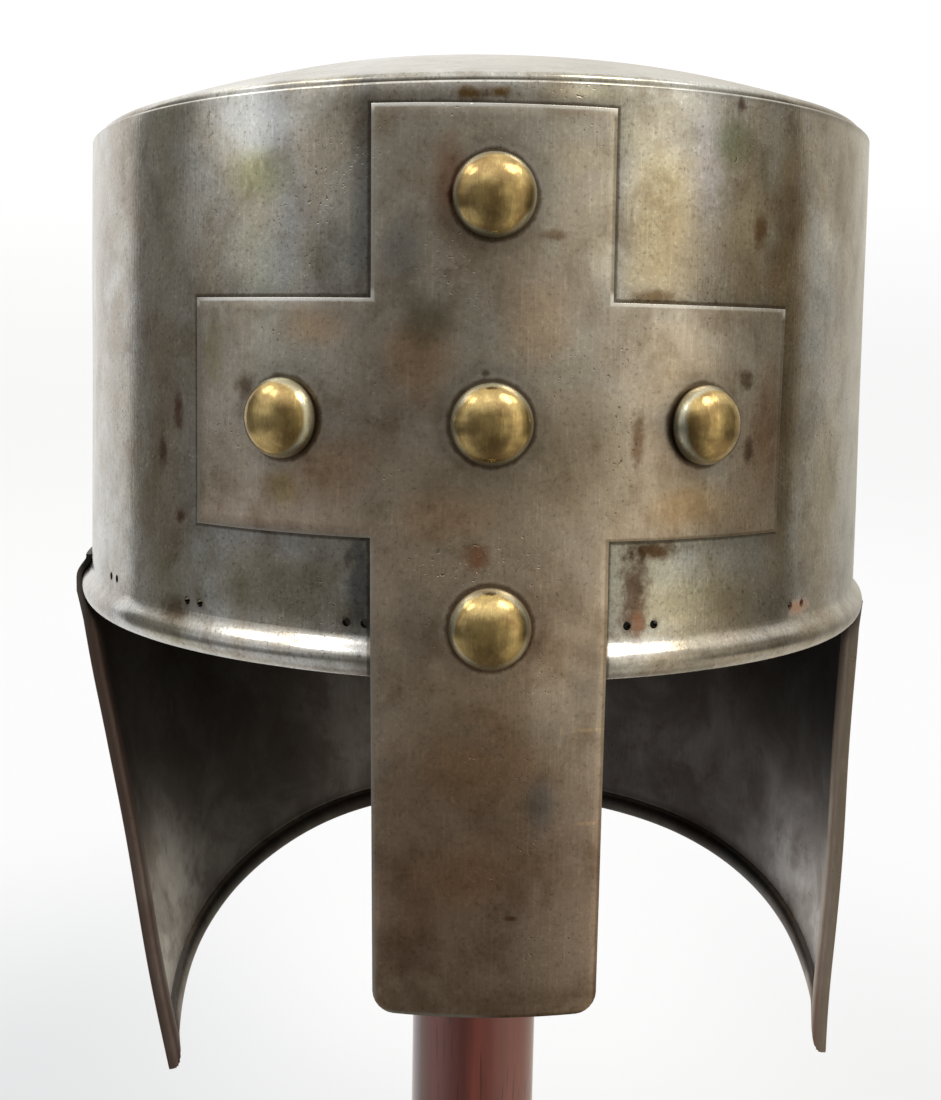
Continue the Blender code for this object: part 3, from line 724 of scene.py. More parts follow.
# %% Wrap and thicken the cross
for vertex in cross.data.vertices:
    drop = rows[round(vertex.co.y)]
    x = cross_x(columns[round(vertex.co.x)], drop)
    offset = plate_offset(drop)
    vertex.co = wall_point(wall_angle(x, offset + SHEET), drop, offset)
cross.data.update()
face_outward(cross)
beat(cross)
add_modifier(cross, "SOLIDIFY", thickness=SHEET, offset=1.0, use_even_offset=True)
add_modifier(cross, "BEVEL", width=0.00045, segments=3, limit_method="ANGLE", angle_limit=math.radians(55))
cut_holes(cross, stud_holes)
round_smooth(cross, 32.0)
seat(cross)
print("cross faces:", len(cross.data.polygons))

# %% [markdown]
# ## Studs and rivets
# A stud is a turned brass dome with a short upright edge, on a shank that is clenched inside. One outline
# is drawn and spun, and each stud is a copy with its own mesh, stood square on the plate. The rivets of the
# neck guard are made the same way, smaller and flatter.

# %% Fasteners
STUD_EDGE = 0.0009
STUD_RISE = 0.0062
CLENCH = 0.0012
RIVET_HEAD = 0.0055
RIVET_RISE = 0.0015
RIVET_CLENCH = 0.0010
FOOT_ROUND = 0.0003


def fastener_outline(head, edge, rise, shank, reach, round_steps):
    """Section of a domed head on its shank, with the head's foot a little rounded."""
    half = head / 2
    outline = [(0.0, -reach), (shank / 2, -reach), (shank / 2, 0.0)]
    outline += [(half - FOOT_ROUND, 0.0), (half, FOOT_ROUND)]
    low = max(edge, FOOT_ROUND)
    if edge > FOOT_ROUND:
        outline.append((half, edge))
    for step in range(1, round_steps):
        turn = math.pi / 2 * step / round_steps
        outline.append((half * math.cos(turn), low + (rise - low) * math.sin(turn)))
    return outline + [(0.0, rise)]


def set_fastener(name, outline, steps, place, turn):
    """Spins a fastener, stands it on the wall and leaves its place in its mesh."""
    piece = spin_outline(name, outline, steps)
    only(piece)
    piece.data.transform(Matrix.Translation(place) @ Euler(turn).to_matrix().to_4x4())
    beat(piece)
    round_smooth(piece, 50.0)
    seat(piece)
    return piece


studs = []
for name, x, drop in STUDS:
    outside, angle, turn = stud_seat(x, drop)
    reach = outside - DRUM_FLARE * drop / DRUM_HEIGHT + FIT_GAP + SHEET + CLENCH
    outline = fastener_outline(STUD_DIAMETER, STUD_EDGE, STUD_RISE, STUD_SHANK, reach, 12)
    place = wall_point(angle, drop, outside + FIT_GAP)
    studs.append((name, set_fastener("brass_" + name, outline, 48, place, turn)))
rivets = []
for number, angle in enumerate(rivet_angles, start=1):
    reach = GUARD_SEAT_GAP + FIT_GAP + 2 * SHEET + RIVET_CLENCH
    outline = fastener_outline(RIVET_HEAD, 0.0, RIVET_RISE, RIVET_SHANK, reach, 6)
    place = wall_point(angle, CROWN_DROP, rivet_outside + FIT_GAP)
    rivet = set_fastener(f"steel_rivet_{number}", outline, 24, place, wall_turn(angle))
    rivets.append((f"guard_rivet_{number}", rivet))
print(len(studs), "studs and", len(rivets), "rivets")

# %% [markdown]
# ## The neck guard
# The guard is a darker sheet round the back half of the head. A flange at its top follows the bead, its
# wall leans in towards the neck, and its free edges are rolled inward, with a point swept down at each
# front corner. Its surface bends two ways at once, so a grid is laid out in columns along the wall and rows
# down it, and each grid point is moved to its place. The finish needs to know how far a point is from the
# rolled edge, so that distance is stored on the mesh.

# %% Measures of the guard
GUARD_OVERLAP = 0.0010
GUARD_HEIGHT = 0.1400
GUARD_BACK_HEIGHT = 0.1040
GUARD_LEAN_IN = 0.0108
GUARD_BACK_LEAN = 0.0100
GUARD_SHIFT = 0.0107
GUARD_STEP = 0.0006
GUARD_STEP_RUN = 0.0090
GUARD_FRONT_TOP = 0.0250
GUARD_FRONT_TIP = 0.0120
RIGHT_FLANGE_SETBACK = 0.0210
LEFT_EDGE = (0.0390, 2.1, 0.0040)
RIGHT_EDGE = (0.0275, 3.4, 0.0095)
EDGE_ROLL_WIDTH = 0.0065
EDGE_ROLL_IN = 0.0026
EDGE_ROLL_OUT = 0.0004
EDGE_ROLL_RUN_IN = 0.0100
BAND_CELLS = 12
PLAIN_COLUMNS = 110
WALL_ROWS = 34
WALL_WAVE = 0.0009
WALL_WAVE_SPAN = 0.055
WALL_WAVE_RUN_IN = 0.03


def guard_section(drop):
    """Middle, half width and half depth of the guard's inner face."""
    share = max(0.0, drop - DRUM_HEIGHT) / GUARD_HEIGHT
    step = GUARD_STEP * soft_step((drop - DRUM_HEIGHT) / GUARD_STEP_RUN)
    offset = drum_offset(min(drop, CROWN_DROP)) + GUARD_SEAT_GAP - step
    half_width = HALF_WIDTH + offset - GUARD_LEAN_IN * share
    half_depth = HALF_DEPTH + offset - GUARD_BACK_LEAN * share
    return GUARD_SHIFT * share, half_width, half_depth


def guard_end_angle(drop, setback=0.0):
    """Angle from the back to the front edge; a setback cuts the flange short."""
    share = max(0.0, drop - DRUM_HEIGHT) / GUARD_HEIGHT
    ahead = GUARD_FRONT_TOP + (GUARD_FRONT_TIP - GUARD_FRONT_TOP) * share
    ahead -= setback * (1.0 - soft_step((drop - CROWN_DROP) / (DRUM_HEIGHT - CROWN_DROP)))
    return math.pi / 2 + math.asin(ahead / guard_section(drop)[2])


def guard_lower_drop(side, from_edge):
    corner, sweep, foot = RIGHT_EDGE if side > 0.0 else LEFT_EDGE
    lower = DRUM_HEIGHT + GUARD_BACK_HEIGHT + corner * abs(side) ** sweep
    return lower + foot * soft_step(1.0 - from_edge / EDGE_ROLL_WIDTH)


def guard_point(share, drop):
    """A point on the wall's inner face, before its edges are rolled."""
    middle, half_width, half_depth = guard_section(drop)
    setback = RIGHT_FLANGE_SETBACK if share > 0.5 else 0.0
    angle = math.pi + guard_end_angle(drop, setback) * (1.0 - 2.0 * share)
    return Vector((middle + half_width * math.sin(angle), -half_depth * math.cos(angle), -drop))


def edge_roll(from_edge, from_lower, drop):
    """Share of the roll's full swell at a distance from the nearest free edge."""
    share = min(from_edge, from_lower) / EDGE_ROLL_WIDTH
    if share >= 1.0:
        return 0.0
    return math.sqrt(1.0 - (2.0 * share - 1.0) ** 2) * soft_step((drop - DRUM_HEIGHT) / EDGE_ROLL_RUN_IN)


mid_guard = DRUM_HEIGHT + GUARD_HEIGHT / 2
guard_length = guard_end_angle(mid_guard) * sum(guard_section(mid_guard)[1:])
print("guard runs", round(guard_length * 1000), "mm round the back")

# %% Guard sheet
band = [EDGE_ROLL_WIDTH * (1.0 - math.cos(math.pi * step / BAND_CELLS)) / 2 for step in range(BAND_CELLS + 1)]
plain = guard_length - 2 * EDGE_ROLL_WIDTH
along = band + [EDGE_ROLL_WIDTH + plain * step / PLAIN_COLUMNS for step in range(1, PLAIN_COLUMNS)]
along += [guard_length - distance for distance in reversed(band)]
flange_top = BEAD_TOP - GUARD_OVERLAP
flange = [flange_top + (CROWN_DROP - flange_top) * step / 8 for step in range(9)]
guard_rows = len(flange) + WALL_ROWS + len(band)

guard = add_grid("guard", len(along) - 1, guard_rows - 1)
bpy.ops.object.mode_set(mode="OBJECT")
rolls = []
for vertex in guard.data.vertices:
    distance = along[round(vertex.co.x)]
    from_edge = min(distance, guard_length - distance)
    share = distance / guard_length
    lowest = guard_lower_drop(2.0 * share - 1.0, from_edge)
    wall_height = lowest - EDGE_ROLL_WIDTH - DRUM_HEIGHT
    wall = [DRUM_HEIGHT + wall_height * step / WALL_ROWS for step in range(WALL_ROWS)]
    drop = (flange + wall + [lowest - step for step in reversed(band)])[round(vertex.co.y)]
    vertex.co = guard_point(share, drop)
    rolls.append(edge_roll(from_edge, lowest - drop, drop))
guard.data.update()
face_outward(guard)
beat(guard)
for vertex in guard.data.vertices:
    foot, outward = oval_outward(vertex.co)
    below = soft_step((-vertex.co.z - DRUM_HEIGHT) / WALL_WAVE_RUN_IN)
    wave = noise.noise(vertex.co / WALL_WAVE_SPAN + Vector((7.0, 3.0, 5.0)))
    vertex.co += outward * WALL_WAVE * wave * below
inner_face = [vertex.co.copy() for vertex in guard.data.vertices]
add_modifier(guard, "SOLIDIFY", thickness=SHEET, offset=1.0, use_even_offset=True)
for vertex in guard.data.vertices:
    start = vertex.index % len(inner_face)
    foot, outward = oval_outward(vertex.co)
    swell = -EDGE_ROLL_IN if (vertex.co - inner_face[start]).length < SHEET / 2 else EDGE_ROLL_OUT
    vertex.co += outward * swell * rolls[start]
print("guard sheet:", len(inner_face), "points on each face of", len(guard.data.vertices))
add_modifier(guard, "BEVEL", width=0.0004, segments=2, limit_method="ANGLE", angle_limit=math.radians(55))
cut_holes(guard, rivet_holes)
round_smooth(guard, 35.0)
reach_in = guard.data.attributes.new("from_edge", "FLOAT", "POINT")
for vertex in guard.data.vertices:
    drop = -vertex.co.z
    middle, half_width, half_depth = guard_section(drop)
    turned = math.atan2((vertex.co.x - middle) / half_width, vertex.co.y / half_depth)
    side = turned / guard_end_angle(drop, RIGHT_FLANGE_SETBACK if turned > 0.0 else 0.0)
    from_edge = (1.0 - abs(side)) * guard_length / 2
    reach_in.data[vertex.index].value = min(from_edge, guard_lower_drop(side, max(from_edge, 0.0)) - drop)
seat(guard)
print("guard faces:", len(guard.data.polygons))

# %% [markdown]
# ## The stand
# The stand is turned from mahogany: a round foot, a straight post and a cap whose crown follows the dome's
# underside. Each part is an outline spun on the lathe's axis, with its edges eased as sandpaper leaves
# them. The joints are tenons in sockets, so each part is closed and stands on its own.

# %% Turned wood
BASE_RADIUS = 0.1000
BASE_HEIGHT = 0.0220
BASE_ROUND = 0.0060
POST_RADIUS = 0.0373 / 2
TENON_RADIUS = 0.0100
TENON_LENGTH = 0.0120
CAP_RADIUS = 0.0500
CAP_EDGE = 0.0080
CAP_SEAT_GAP = 0.0006
CAP_NECK = POST_RADIUS * 1.5
CAP_SHARES = (0.9, 0.75, 0.6, 0.45, 0.3, 0.15)
WOOD_ROUND = 0.0008
WOOD_STEPS = 96

socket = TENON_RADIUS + FIT_GAP
sink = TENON_LENGTH + FIT_GAP


def cap_crown(radius):
    under_dome = HELMET_PLACE.z + RIM_LIFT + TOP_PROUD + TOP_RISE - SHEET - CAP_SEAT_GAP
    return under_dome - TOP_RISE * ((radius + abs(HELMET_PLACE.x)) / dome_wide) ** 2


base_outline = [(0.0, 0.0), (BASE_RADIUS * 0.5, 0.0), (BASE_RADIUS - BASE_ROUND / 3, 0.0)]
base_outline += [(BASE_RADIUS - BASE_ROUND / 8, BASE_ROUND / 12), (BASE_RADIUS, BASE_ROUND / 3)]
base_outline.append((BASE_RADIUS, BASE_HEIGHT * 0.5))
for step in range(9):
    turn = math.pi / 2 * step / 8
    lift = BASE_HEIGHT - BASE_ROUND * (1.0 - math.sin(turn))
    base_outline.append((BASE_RADIUS - BASE_ROUND * (1.0 - math.cos(turn)), lift))
base_outline += [(BASE_RADIUS * share, BASE_HEIGHT) for share in (0.75, 0.5, 0.3)]
base_outline += [(socket, BASE_HEIGHT), (socket, BASE_HEIGHT - sink), (0.0, BASE_HEIGHT - sink)]
base = spin_outline("wood_base", base_outline, WOOD_STEPS)

cap_foot = cap_crown(CAP_RADIUS) - CAP_EDGE
cap_outline = [(0.0, cap_foot + sink), (socket, cap_foot + sink), (socket, cap_foot), (CAP_NECK, cap_foot)]
for step in range(1, 9):
    turn = math.pi / 2 * step / 8
    reach = CAP_NECK + (CAP_RADIUS - CAP_NECK) * math.sin(turn)
    cap_outline.append((reach, cap_foot + CAP_EDGE / 2 * (1.0 - math.cos(turn))))
cap_rim = cap_crown(CAP_RADIUS)
cap_outline += [(CAP_RADIUS, cap_rim - WOOD_ROUND), (CAP_RADIUS - WOOD_ROUND, cap_rim + 0.0001)]
cap_outline += [(CAP_RADIUS * share, cap_crown(CAP_RADIUS * share)) for share in CAP_SHARES]
cap_outline.append((0.0, cap_crown(0.0)))
cap = spin_outline("wood_cap", cap_outline, WOOD_STEPS)

foot, head = BASE_HEIGHT + FIT_GAP, cap_foot - FIT_GAP
post_outline = [(0.0, foot - TENON_LENGTH), (TENON_RADIUS, foot - TENON_LENGTH), (TENON_RADIUS, foot)]
post_outline += [(POST_RADIUS - WOOD_ROUND, foot), (POST_RADIUS, foot + WOOD_ROUND)]
post_outline += [(POST_RADIUS, foot + (head - foot) * share) for share in (0.2, 0.4, 0.6, 0.8)]
post_outline += [(POST_RADIUS, head - WOOD_ROUND), (POST_RADIUS - WOOD_ROUND, head), (TENON_RADIUS, head)]
post_outline += [(TENON_RADIUS, head + TENON_LENGTH), (0.0, head + TENON_LENGTH)]
post = spin_outline("wood_post", post_outline, WOOD_STEPS)
for part in (base, cap, post):
    round_smooth(part, 40.0)
print("post runs from", round(foot, 4), "to", round(head, 4))

# %% [markdown]
# ## Browned steel
# The steel was brushed by hand, browned with heat and oil, and then handled. Seen close it has fine upright
# scratches, cloudy brown, olive and bluish tints some centimetres wide, small pits, rust at the holes, grime
# round the studs, and a dark line and soft shade beside the edges of the cross, partly grime and partly
# painted shadow. Some masks paint light and shade too: painted highlights on the bead, on the cross's upper
# and left edges, on the guard's crease and near its tips, and painted shade on the dome, on the cross's other
# edges, inside the guard and in its rolled edges. A plain metal shader gives only the mirror, so each of
# these is a mask over the bare metal. Marks are ellipses with ragged edges, placed by their distance across
# and drop below the rim, where the real ones are.

# %% Places on the helmet, for materials
def helmet_place(coordinates):
    """Object coordinates counted from the rim's centre: the place, then x, y and the drop below the rim."""
    place = coordinates.node("VectorMath", {"operation": "SUBTRACT"}, {0: coordinates, 1: HELMET_PLACE})
    x, y, z = split(place)
    return place, x, y, 0.0 - z


def ellipse(x, drop, ragged, mark):
    """Mask of one ragged mark of (across, drop, half width, half height) in millimetres."""
    across, down, half_width, half_height = (value / 1000.0 for value in mark)
    sideways = (x - across) / half_width
    upright = (drop - down) / half_height
    far = (sideways * sideways + upright * upright) ** 0.5 + ragged
    return smooth(far, 1.3, 0.25)


def tinted(share, tone, tint):
    """Multiplies a tone by a tint; stains, rubbed patches, painted shade and painted highlights all use it.
    """
    settings = {"data_type": "RGBA", "blend_type": "MULTIPLY"}
    return tone.node("Mix", settings, {0: share, 6: tone, 7: tint}, output=2)


def marked(tone, x, drop, ragged, marks):
    """Lays marks over a tone, stains and tints, one of them a painted highlight; a row is a mark's four
    measures and its tint.
    """
    for row in marks:
        tone = tinted(ellipse(x, drop, ragged, row[:4]), tone, row[4:])
    return tone


def box_distance(x, drop, left, right, upper, lower):
    """How far outside an upright box a point of the wall lies."""
    sideways = (left - x).most(x - right)
    upright = (upper - drop).most(drop - lower)
    return sideways.most(upright)


def cross_distance(x, drop):
    """How far outside the cross a point of the wall lies; negative inside it."""
    middle = drop * (BAR_LEAN / NASAL_DROP) - BAR_LEAN
    below_arms = (drop - arm_foot).most(0.0) / (NASAL_DROP - arm_foot)
    half = below_arms * ((NASAL_FOOT_WIDTH - BAR_WIDTH) / 2) + BAR_WIDTH / 2
    upright_bar = box_distance(x, drop, middle - half, middle + half, CROSS_TOP_DROP, NASAL_DROP)
    level_bar = box_distance(x, drop, -ARM_REACH, ARM_REACH, ARM_TOP, ARM_TOP + ARM_HEIGHT)
    return upright_bar.least(level_bar)


def nearest(place, holes):
    """Distance to the mouth of the nearest of some holes."""
    distance = None
    for mouth, turn, diameter in holes:
        away = place.node("VectorMath", {"operation": "DISTANCE"}, {0: place, 1: mouth}, output="Value")
        distance = away if distance is None else distance.least(away)
    return distance


print("masks can follow", len(stud_holes), "stud holes and", len(stitch_holes), "stitch holes")


# %% Steel recipe
def steel_detail(place):
    """Fine textures that every steel sheet shares: brushing, speckle, pits and clouds."""
    brushing = cloud(stretched(place, (1.0, 1.0, 0.06)), 1600.0, 2.0, 0.6)
    speckle = cloud(place, 1100.0, 3.0, 0.7)
    pitted = smooth(cloud(place, 60.0, 2.0), 0.50, 0.66)
    pits = smooth(cloud(place, 1250.0, 1.0, 0.5), 0.66, 0.74) * pitted
    patches = cloud(place, 30.0, 5.0, 0.6, 0.5)
    mottle = cloud(place, 85.0, 5.0, 0.62, 0.3)
    return brushing, speckle, pits, patches, mottle


def worn(tone, detail, strength=1.0):
    """Dark clouds, pale rubbed specks and dark pits over a steel tone."""
    brushing, speckle, pits, patches, mottle = detail
    tone = tinted(smooth(mottle, 0.46, 0.72) * 0.8, tone, (0.60, 0.55, 0.48))
    tone = tinted(smooth(mottle, 0.50, 0.28) * 0.6, tone, (1.22, 1.21, 1.18))
    tone = tinted(smooth(speckle, 0.52, 0.74) * 0.8 * strength, tone, (1.40, 1.40, 1.38))
    tone = tinted(smooth(speckle, 0.46, 0.28) * 0.8 * strength, tone, (0.50, 0.47, 0.44))
    tone = tinted(smooth(brushing, 0.52, 0.80) * 0.6, tone, (1.30, 1.30, 1.30))
    return mixed(pits * 0.7, tone, (0.10, 0.075, 0.06))


def steel_surface(finish, place, tone, rust, roughness, detail, relief):
    """Joins a steel's tone, rust and relief to a metal shader."""
    brushing, speckle, pits, patches, mottle = detail
    depth = brushing * 0.000016 * relief - pits * 0.00004
    depth = depth + mottle * 0.00006 + rust * 0.00008 + speckle * 0.00001
    join_surface(place, depth, {"Base Color": tone, "Metallic": 1.0 - rust * 0.85, "Roughness": roughness})
    print(finish.name, "has", len(finish.node_tree.nodes), "nodes")


def open_steel(name):
    """A new steel finish, with the place on the helmet and the textures that start it."""
    finish, coordinates = open_finish(name)
    place, x, y, drop = helmet_place(coordinates)
    return finish, place, x, y, drop, steel_detail(place)


def frayed(place):
    """Fine noise that frays the stains, and broad noise that frays the tints."""
    return (cloud(place, 420.0, 4.0, 0.65) - 0.5) * 1.6, (cloud(place, 90.0, 4.0, 0.6) - 0.5) * 1.1


print("steel recipe ready")

# %% Drum steel
# Each row is a mark's place across, drop, half width and half height in millimetres, then its tint
BARE = (0.58, 0.57, 0.54)
BROWNED = (0.40, 0.355, 0.29)
OLIVE = (0.43, 0.43, 0.34)
BLUED = (0.43, 0.445, 0.46)
DRUM_TINTS = (
    (-55, 9, 9, 13, 1.60, 1.62, 1.60), (-50, 17, 8, 6, 0.86, 0.90, 0.68),
    (-36, 10, 8, 16, 1.22, 1.24, 1.22), (-51, 34, 6, 18, 1.15, 1.17, 1.12),
    (-33, 34, 7, 9, 0.78, 0.80, 0.80), (-27, 22, 3.2, 30, 0.66, 0.67, 0.70),
    (-73, 60, 7, 70, 0.90, 0.85, 0.78), (-62, 48, 5, 34, 0.88, 0.82, 0.72),
    (-46, 103, 18, 9, 0.86, 0.84, 0.74), (33, 26, 9, 22, 1.18, 1.12, 0.92),
    (43.5, 14, 4, 14, 1.10, 1.10, 1.22), (49.5, 8, 5, 6, 0.70, 0.78, 0.66),
    (55, 25, 8, 22, 0.88, 0.78, 0.62), (65.5, 50, 6, 66, 0.86, 0.72, 0.54),
    (86, 34, 6, 34, 0.90, 0.84, 0.76), (78, 90, 9, 34, 1.06, 0.98, 0.86),
    # The row at 46 across and 106 drop brightens the bead right of the bar: a painted highlight.
    (46, 106, 16, 8, 1.22, 1.14, 0.98), (15.3, 1.4, 7, 2, 1.50, 1.46, 1.32),
    (72, 6, 3, 5, 1.20, 1.18, 1.14), (74.5, 14, 2.6, 6, 1.26, 1.24, 1.20),
    (77, 24, 2.4, 7, 1.22, 1.20, 1.16), (81, 12, 2.4, 9, 0.84, 0.82, 0.78),
)
DRUM_STAINS = (
    (-6.6, 2.2, 3.4, 1.6, 0.45, 0.30, 0.14), (-0.5, 1.8, 2.6, 1.3, 0.45, 0.30, 0.14),
    (30, 103, 3.8, 12, 0.34, 0.25, 0.22), (34, 93.6, 7, 2.2, 0.30, 0.20, 0.14),
    (32.1, 40.9, 5, 1.6, 0.45, 0.36, 0.28), (51, 0.6, 1.6, 1.6, 0.30, 0.22, 0.20),
    (57, 26.2, 2, 4, 0.50, 0.38, 0.28), (-69.2, 67.2, 1.3, 4.6, 0.42, 0.26, 0.24),
    (-73.4, 76.3, 1.3, 4, 0.46, 0.34, 0.30), (-68.7, 90.5, 1.4, 1.6, 0.42, 0.28, 0.24),
    (-70.3, 111.7, 4.2, 3.4, 0.50, 0.42, 0.36), (-27.5, 103, 3.4, 14, 0.42, 0.44, 0.48),
)
RUST_MARKS = ((72.6, 110.0, 3.4, 2.0), (31.0, 109.0, 1.8, 3.0))

drum_steel, place, x, y, drop, detail = open_steel("browned_steel_drum")
brushing, speckle, pits, patches, mottle = detail
ragged, broad = frayed(place)
tone = mixed(smooth(patches, 0.38, 0.66), BARE, BROWNED)
tone = mixed(smooth(cloud(place, 17.0, 3.0), 0.50, 0.68) * 0.6, tone, OLIVE)
tone = mixed(smooth(cloud(place, 21.0, 2.0, 0.5, 1.0), 0.56, 0.70) * 0.5, tone, BLUED)
front = smooth(y, 0.0, -0.03)
plain_tone = worn(tone, detail)
tone = marked(plain_tone, x, drop, broad, DRUM_TINTS)
tone = mixed(front, plain_tone, marked(tone, x, drop, ragged, DRUM_STAINS))
from_cross = cross_distance(x, drop)
# Beside the cross the drum is darkened: a thin dark line along its edges and a wider soft shade within 6 mm,
# partly grime and partly painted shadow of the plate.
edge_grime_and_shadow = smooth(from_cross + ragged * 0.0003, 0.0012, 0.0006) * front
tone = tinted(edge_grime_and_shadow * 0.9, tone, (0.30, 0.27, 0.24))
tone = tinted(smooth(from_cross + ragged * 0.001, 0.006, 0.0) * 0.6 * front, tone, (0.66, 0.66, 0.66))
# Painted shade over the dome, fading out towards its far left, which stays lighter where the light falls.
painted_dome_shade = smooth(drop, 0.0002, -0.0012) * smooth(x, -0.085, -0.030)
tone = tinted(painted_dome_shade, tone, (0.69, 0.695, 0.68))
from_hole = nearest(place, stitch_holes)
tone = mixed(smooth(from_hole + ragged * 0.0006, 0.0026, 0.0011) * 0.75, tone, (0.09, 0.065, 0.05))
right_patch, middle_patch = (ellipse(x, drop, ragged, mark) for mark in RUST_MARKS)
rust = right_patch.most(middle_patch) * front
tone = mixed(rust * 0.75, tone, (0.30, 0.13, 0.055))
roughness = 0.06 + patches * 0.06 + mottle * 0.06 + speckle * 0.05 + rust * 0.3 + edge_grime_and_shadow * 0.15
steel_surface(drum_steel, place, tone, rust, roughness, detail, 1.0)

# %% Cross steel
CROSS_TINTS = (
    (7.5, 46, 8, 11, 1.04, 0.90, 0.78), (-15.5, 55, 8, 9, 0.94, 0.76, 0.64),
    (-19.5, 33, 5, 8, 0.66, 0.68, 0.72), (-14.7, 47, 5, 6, 0.62, 0.64, 0.58),
    (-10, 19, 4, 9, 0.84, 0.62, 0.54), (17.5, 14, 7, 4, 1.22, 1.20, 1.14),
    (18, 28, 8, 16, 1.14, 1.12, 1.06), (20, 33.5, 3, 5, 1.45, 1.47, 1.45),
    (-9.5, 86, 12, 6, 1.04, 0.90, 0.80), (-34, 77, 10, 8, 1.02, 0.90, 0.80),
    (-44.3, 81.7, 4, 4, 0.86, 0.80, 0.58), (-38, 48.5, 8, 5, 1.12, 0.96, 0.80),
    (-51, 48, 6, 6, 1.35, 1.40, 1.40), (-60, 54, 3, 8, 0.84, 0.88, 0.74),
    (-48, 66, 12, 14, 1.18, 1.22, 1.24), (40, 52, 10, 8, 1.30, 1.28, 1.24),
    (40, 60, 14, 6, 1.14, 1.14, 1.12), (43, 84, 10, 5, 1.20, 1.08, 0.90),
    (60.5, 66, 5, 18, 1.00, 0.84, 0.76), (14, 72, 12, 14, 0.80, 0.75, 0.69),
    (14, 98, 11, 13, 0.85, 0.86, 0.87), (8, 112, 16, 8, 1.14, 1.10, 1.08),
    (0, 122, 20, 8, 1.34, 1.34, 1.34), (-3, 137, 16, 10, 1.08, 0.96, 0.86),
    (10.5, 146, 4, 7, 0.66, 0.74, 0.86), (-16, 108, 5, 9, 0.78, 0.78, 0.80),
    (19.5, 120, 4, 10, 0.82, 0.84, 0.86), (-4, 160, 12, 9, 1.07, 0.94, 0.84),
    (-16, 172, 6, 12, 0.84, 0.74, 0.72),
)
CROSS_STAINS = (
    (-9.2, 22.1, 1.7, 2.6, 0.42, 0.20, 0.16), (54.3, 57.6, 2.3, 2.7, 0.34, 0.28, 0.24),
    (55.6, 72.9, 1.7, 3.4, 0.36, 0.30, 0.28), (29.4, 70.5, 1.7, 6.5, 0.48, 0.38, 0.32),
    (-52.7, 60.8, 2.2, 3, 0.50, 0.44, 0.38), (-3.8, 94.2, 3.4, 3.2, 0.66, 0.44, 0.34),
    (-2.4, 57, 1, 0.9, 0.45, 0.38, 0.32), (11, 29.5, 4, 1.2, 0.62, 0.52, 0.44),
    (20.5, 130, 3.4, 0.5, 1.35, 1.28, 1.16), (20.5, 150, 3.4, 0.5, 1.30, 1.24, 1.12),
    (5, 170, 1.6, 0.6, 0.50, 0.38, 0.30),
)

cross_steel, place, x, y, drop, detail = open_steel("browned_steel_cross")
brushing, speckle, pits, patches, mottle = detail
ragged, broad = frayed(place)
tone = mixed(smooth(patches, 0.36, 0.64), (0.53, 0.49, 0.43), (0.395, 0.335, 0.265))
tone = mixed(smooth(cloud(place, 19.0, 3.0), 0.50, 0.66) * 0.4, tone, (0.42, 0.41, 0.34))
tone = mixed(smooth(cloud(place, 23.0, 2.0, 0.5, 1.0), 0.56, 0.70) * 0.3, tone, (0.40, 0.41, 0.42))
tone = tinted(smooth(drop, 0.045, 0.100), tone, (1.02, 0.92, 0.83))
tone = tinted(smooth(drop, 0.120, 0.160), tone, (0.83, 0.76, 0.76))
tone = tinted(smooth(drop, 0.035, 0.012), tone, (1.06, 1.08, 1.08))
tone = marked(worn(tone, detail, 0.7), x, drop, broad, CROSS_TINTS)
tone = marked(tone, x, drop, ragged, CROSS_STAINS)
from_stud = nearest(place, stud_holes) + ragged * 0.0008
tone = tinted(smooth(from_stud, 0.0135, 0.0090) * 0.7, tone, (0.62, 0.62, 0.62))
tone = tinted(smooth(from_stud, 0.0097, 0.0088), tone, (0.35, 0.30, 0.25))
# A band along the cross's cut edges: worn bare steel, painted brighter on the upper edges and the left side
# as a painted highlight, and darker on the other edges as painted shade.
rubbed = smooth(cross_distance(x, drop) + ragged * 0.00025, -0.0009, -0.0004)
bar_top = smooth(drop, CROSS_TOP_DROP + 0.0020, CROSS_TOP_DROP)
lit_upper_edge = smooth(abs(drop - ARM_TOP), 0.0024, 0.0010).most(bar_top)
lit_left_side = smooth(x, 0.005, -0.005)
tone = tinted(rubbed * (1.0 - lit_upper_edge), tone, (0.62, 0.60, 0.56))
tone = mixed(rubbed * (lit_upper_edge * 0.55 + lit_left_side * 0.28), tone, (0.90, 0.90, 0.86))
halo = smooth(from_stud, 0.0110, 0.0088)
roughness = 0.17 + patches * 0.08 + mottle * 0.06 + speckle * 0.05 + halo * 0.10
steel_surface(cross_steel, place, tone, halo * 0.15, roughness, detail, 1.0)

# %% Guard steel
guard_steel, place, x, y, drop, detail = open_steel("dark_steel_guard")
brushing, speckle, pits, patches, mottle = detail
lean = (drop - DRUM_HEIGHT).most(0.0) / GUARD_HEIGHT
guard_wide = lean * (0.0 - GUARD_LEAN_IN) + (HALF_WIDTH + 0.0054)
guard_deep = lean * (0.0 - GUARD_BACK_LEAN) + (HALF_DEPTH + 0.0054)
place_wide = ((x - lean * GUARD_SHIFT) / guard_wide) ** 2.0
place_deep = (y / guard_deep) ** 2.0
tone = mixed(smooth(patches, 0.36, 0.64), (0.30, 0.285, 0.27), (0.18, 0.16, 0.145))
tone = mixed(smooth(mottle, 0.48, 0.68) * 0.5, tone, (0.13, 0.095, 0.08))
